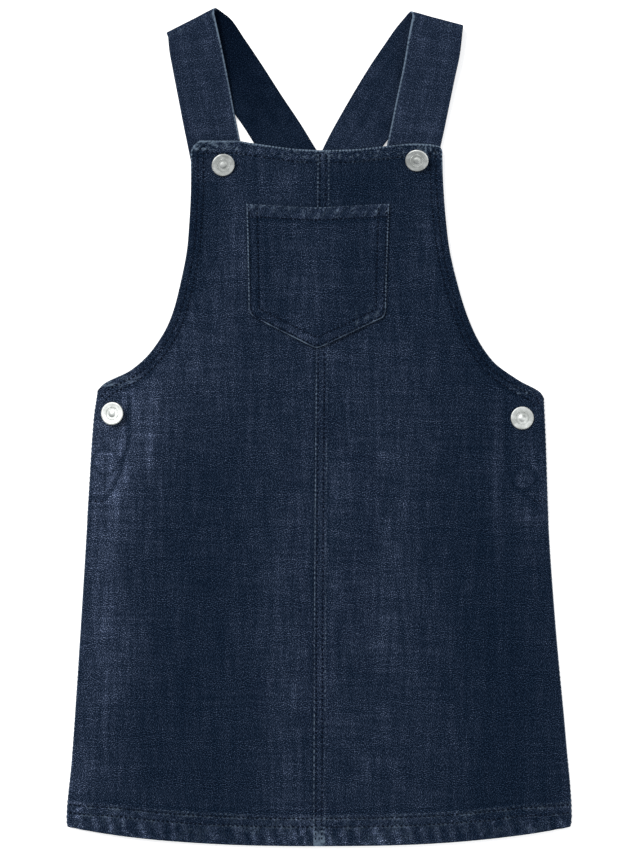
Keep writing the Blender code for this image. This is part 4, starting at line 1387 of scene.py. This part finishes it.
# %% The buttons' shape and metal
CAP_RADIUS, NECK_RADIUS = 8.3, 3.0
Turn = namedtuple("Turn", "radius height")
CAP = listed(
    Turn,
    (0, 1.7), (0.9, 1.65), (1.6, 1.5), (2.1, 1.28), (2.45, 1.06), (2.7, 0.95), (3.0, 0.95), (3.3, 0.99),
    (3.6, 1.01), (4.4, 1.04), (5.6, 1.1), (6.6, 1.18), (7.3, 1.28), (7.7, 1.3), (8.0, 1.18), (8.2, 0.95),
    (CAP_RADIUS, 0.7), (8.2, 0.4), (8.0, 0.2), (7.6, 0.06), (7.1, 0.0), (NECK_RADIUS, 0.0),
)
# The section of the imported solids' caps, which sets how far a leaning cap has to be raised.
SOLID_CAP = listed(
    Turn,
    (0, 2.2), (1.5, 2.05), (2.5, 1.5), (3.0, 1.0), (5.9, 1.1), (7.0, 1.75), (7.8, 1.9), (CAP_RADIUS, 1.2),
    (8.3, 0.4), (7.6, 0.0), (NECK_RADIUS, 0.0),
)
# Where a cap is, how far it leans and towards what bearing, and the height that its neck stands on.
Button = namedtuple("Button", "name x y lean towards rests_at")
BUTTONS = listed(
    Button,
    ("bib_button_right", -68.9, 188.3, 26, -62, STRAP_WALL),
    ("bib_button_left", 70.2, 191.4, 29, -98, STRAP_WALL),
    ("side_button_right", -148.5, 9.7, 13, 165, STAND_TOP),
    ("side_button_left", 146.2, 6.5, 0, 0, STAND_TOP),
)
AROUND = 72


def button_metal():
    material, tree, shader = new_material("silver_tack")
    where = joined(tree, "ShaderNodeTexCoord").outputs["Object"]
    fine, broad = object_noise(tree, where, 900.0, 3.0), object_noise(tree, where, 230.0, 3.0)
    color = blend_colors(tree, remap(tree, broad, 0.35, 0.7), (0.50, 0.52, 0.50, 1), (0.76, 0.78, 0.76, 1))
    rough = sums(tree, "MULTIPLY_ADD", fine, 0.2, 0.46)
    bump = joined(tree, "ShaderNodeBump", {"Height": fine, "Strength": 0.12, "Distance": 0.0002})
    feed(tree, shader, {"Base Color": color, "Roughness": rough, "Normal": bump.outputs[0], "Metallic": 1.0})
    return material


METAL = button_metal()
print(f"{METAL.name}: caps {2 * CAP_RADIUS:.1f} mm wide")


# %% Turning and placing the buttons
def button_place(button):
    """The neck's direction, and the middle of the cap's underside once the cap clears the cloth."""
    lean, towards = math.radians(button.lean), math.radians(button.towards)
    up = np.array([math.sin(lean) * math.cos(towards), math.sin(lean) * math.sin(towards), math.cos(lean)])
    around, out = np.meshgrid(np.linspace(0, 2 * math.pi, 17), np.linspace(0, CAP_RADIUS, 4))
    x, y = button.x + out * np.cos(around), button.y + out * np.sin(around)
    highest = float(np.max(front_face("right" if button.x < 0 else "left", x, y)))
    dip = max(turn.radius * math.sin(lean) - turn.height * math.cos(lean) for turn in SOLID_CAP)
    return up, np.array([button.x, button.y, highest + GAP + dip])


def turned(name, profile, around, material):
    """A closed turned piece from half of its section, from the axis out and back to the axis."""
    bm = bmesh.new()
    angles = [2 * math.pi * i / around for i in range(around)]
    rings = []
    for radius, height in profile:
        if radius == 0:
            rings.append([bm.verts.new((0, 0, height * MM))] * around)
        else:
            rings.append([bm.verts.new((radius * MM * math.cos(a), radius * MM * math.sin(a), height * MM))
                          for a in angles])
    for above, below in zip(rings, rings[1:]):
        for i in range(around):
            corners = [above[i], below[i], below[(i + 1) % around], above[(i + 1) % around]]
            unique = list(dict.fromkeys(corners))
            if len(unique) > 2:
                bm.faces.new(unique)
    bmesh.ops.recalc_face_normals(bm, faces=bm.faces)
    mesh = bpy.data.meshes.new(name)
    bm.to_mesh(mesh)
    bm.free()
    mesh.shade_smooth()
    mesh.materials.append(material)
    return mesh


# %% [markdown]
# ## The ring of beads
#
# The dish of a tack button has a ring of small raised marks. Modelled one by one they would be
# hard to keep even, so Geometry Nodes sets a low bead on each point of a circle, joins the
# ring to the turned cap and gives both the same metal.

# %% The bead tree
def bead_tree():
    """A ring of low beads, for the dish of a button."""
    tree, given, made = new_tree(
        "bead_ring", "GeometryNodeTree",
        [("Geometry", "Geometry"), ("Radius", "Float"), ("Count", "Int"), ("Bead", "Float"),
         ("Material", "Material")], [("Geometry", "Geometry")])
    take, add = given.outputs, partial(geometry_step, tree)
    ring = add("MeshCircle", {"Vertices": take["Count"], "Radius": take["Radius"]})
    bead = add("MeshUVSphere", {"Segments": 8, "Rings": 5, "Radius": take["Bead"]})
    placed = add("InstanceOnPoints", {"Points": ring, "Instance": bead})
    real = add("RealizeInstances", {"Geometry": placed})
    whole = joined(tree, "GeometryNodeJoinGeometry")
    for part in (add("SetShadeSmooth", {"Geometry": real}), take["Geometry"]):
        tree.links.new(part, whole.inputs[0])
    finished = add("SetMaterial", {"Geometry": whole.outputs[0], "Material": take["Material"]})
    tree.links.new(finished, made.inputs["Geometry"])
    return tree


BEAD_TREE = bead_tree()
print(f"{BEAD_TREE.name}: {len(BEAD_TREE.nodes)} nodes")

# %% The four buttons
BEAD_HEIGHT = 1.02  # how high in the dish the beads lie
BEAD_RING = dict(radius=4.5 * MM, count=30, bead=0.42 * MM)


def tack_button(button):
    up, place = button_place(button)
    room = place[2] - button.rests_at - GAP - NECK_RADIUS * math.sin(math.radians(button.lean))
    length = room / up[2]
    low = [Turn(t.radius, t.height - BEAD_HEIGHT) for t in CAP + [Turn(NECK_RADIUS, -length), Turn(0, -length)]]
    mesh = turned(button.name, low, AROUND, METAL)
    obj = made_by(BEAD_TREE, f"tack_{button.name}", mesh, material=METAL, **BEAD_RING)
    spin = Vector((0, 0, 1)).rotation_difference(Vector(up)).to_matrix().to_4x4()
    lift = Vector((0, 0, BEAD_HEIGHT * MM))
    obj.data.transform(spin @ Matrix.Translation(lift))
    obj.data.transform(Matrix.Translation(Vector(place) * MM))
    print(f"{obj.name}: {len(obj.data.polygons)} faces, neck {length:.1f} mm long")
    return obj


buttons = {button.name: tack_button(button) for button in BUTTONS}

# %% [markdown]
# ## Handing the pieces over
#
# Every piece rides on the dress's one body, and stands in for its solid, which is hidden. The
# cloth pieces are sheets; the fronts, the pocket and the back print how much cloth they show.

# %% Riding and replacing
def flat_area(obj):
    """Half the surface of a thin closed wall, in square metres."""
    return sum(face.area for face in obj.data.polygons) / 2


def hand_over(obj, node):
    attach(obj, "root")
    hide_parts(node)


for side in SIDES:
    hand_over(fronts[side], f"front_{side}")
    hand_over(stands[side], f"button_stand_{side}")
    hand_over(straps[side], f"strap_{side}")
hand_over(patch, "pocket")
hand_over(back, "back_panel")
for name, obj in buttons.items():
    hand_over(obj, name)
for obj in topstitching.values():
    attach(obj, "root")

for obj in (*fronts.values(), patch, back):
    print(f"{obj.name}: {flat_area(obj):.4f} square metres of cloth")
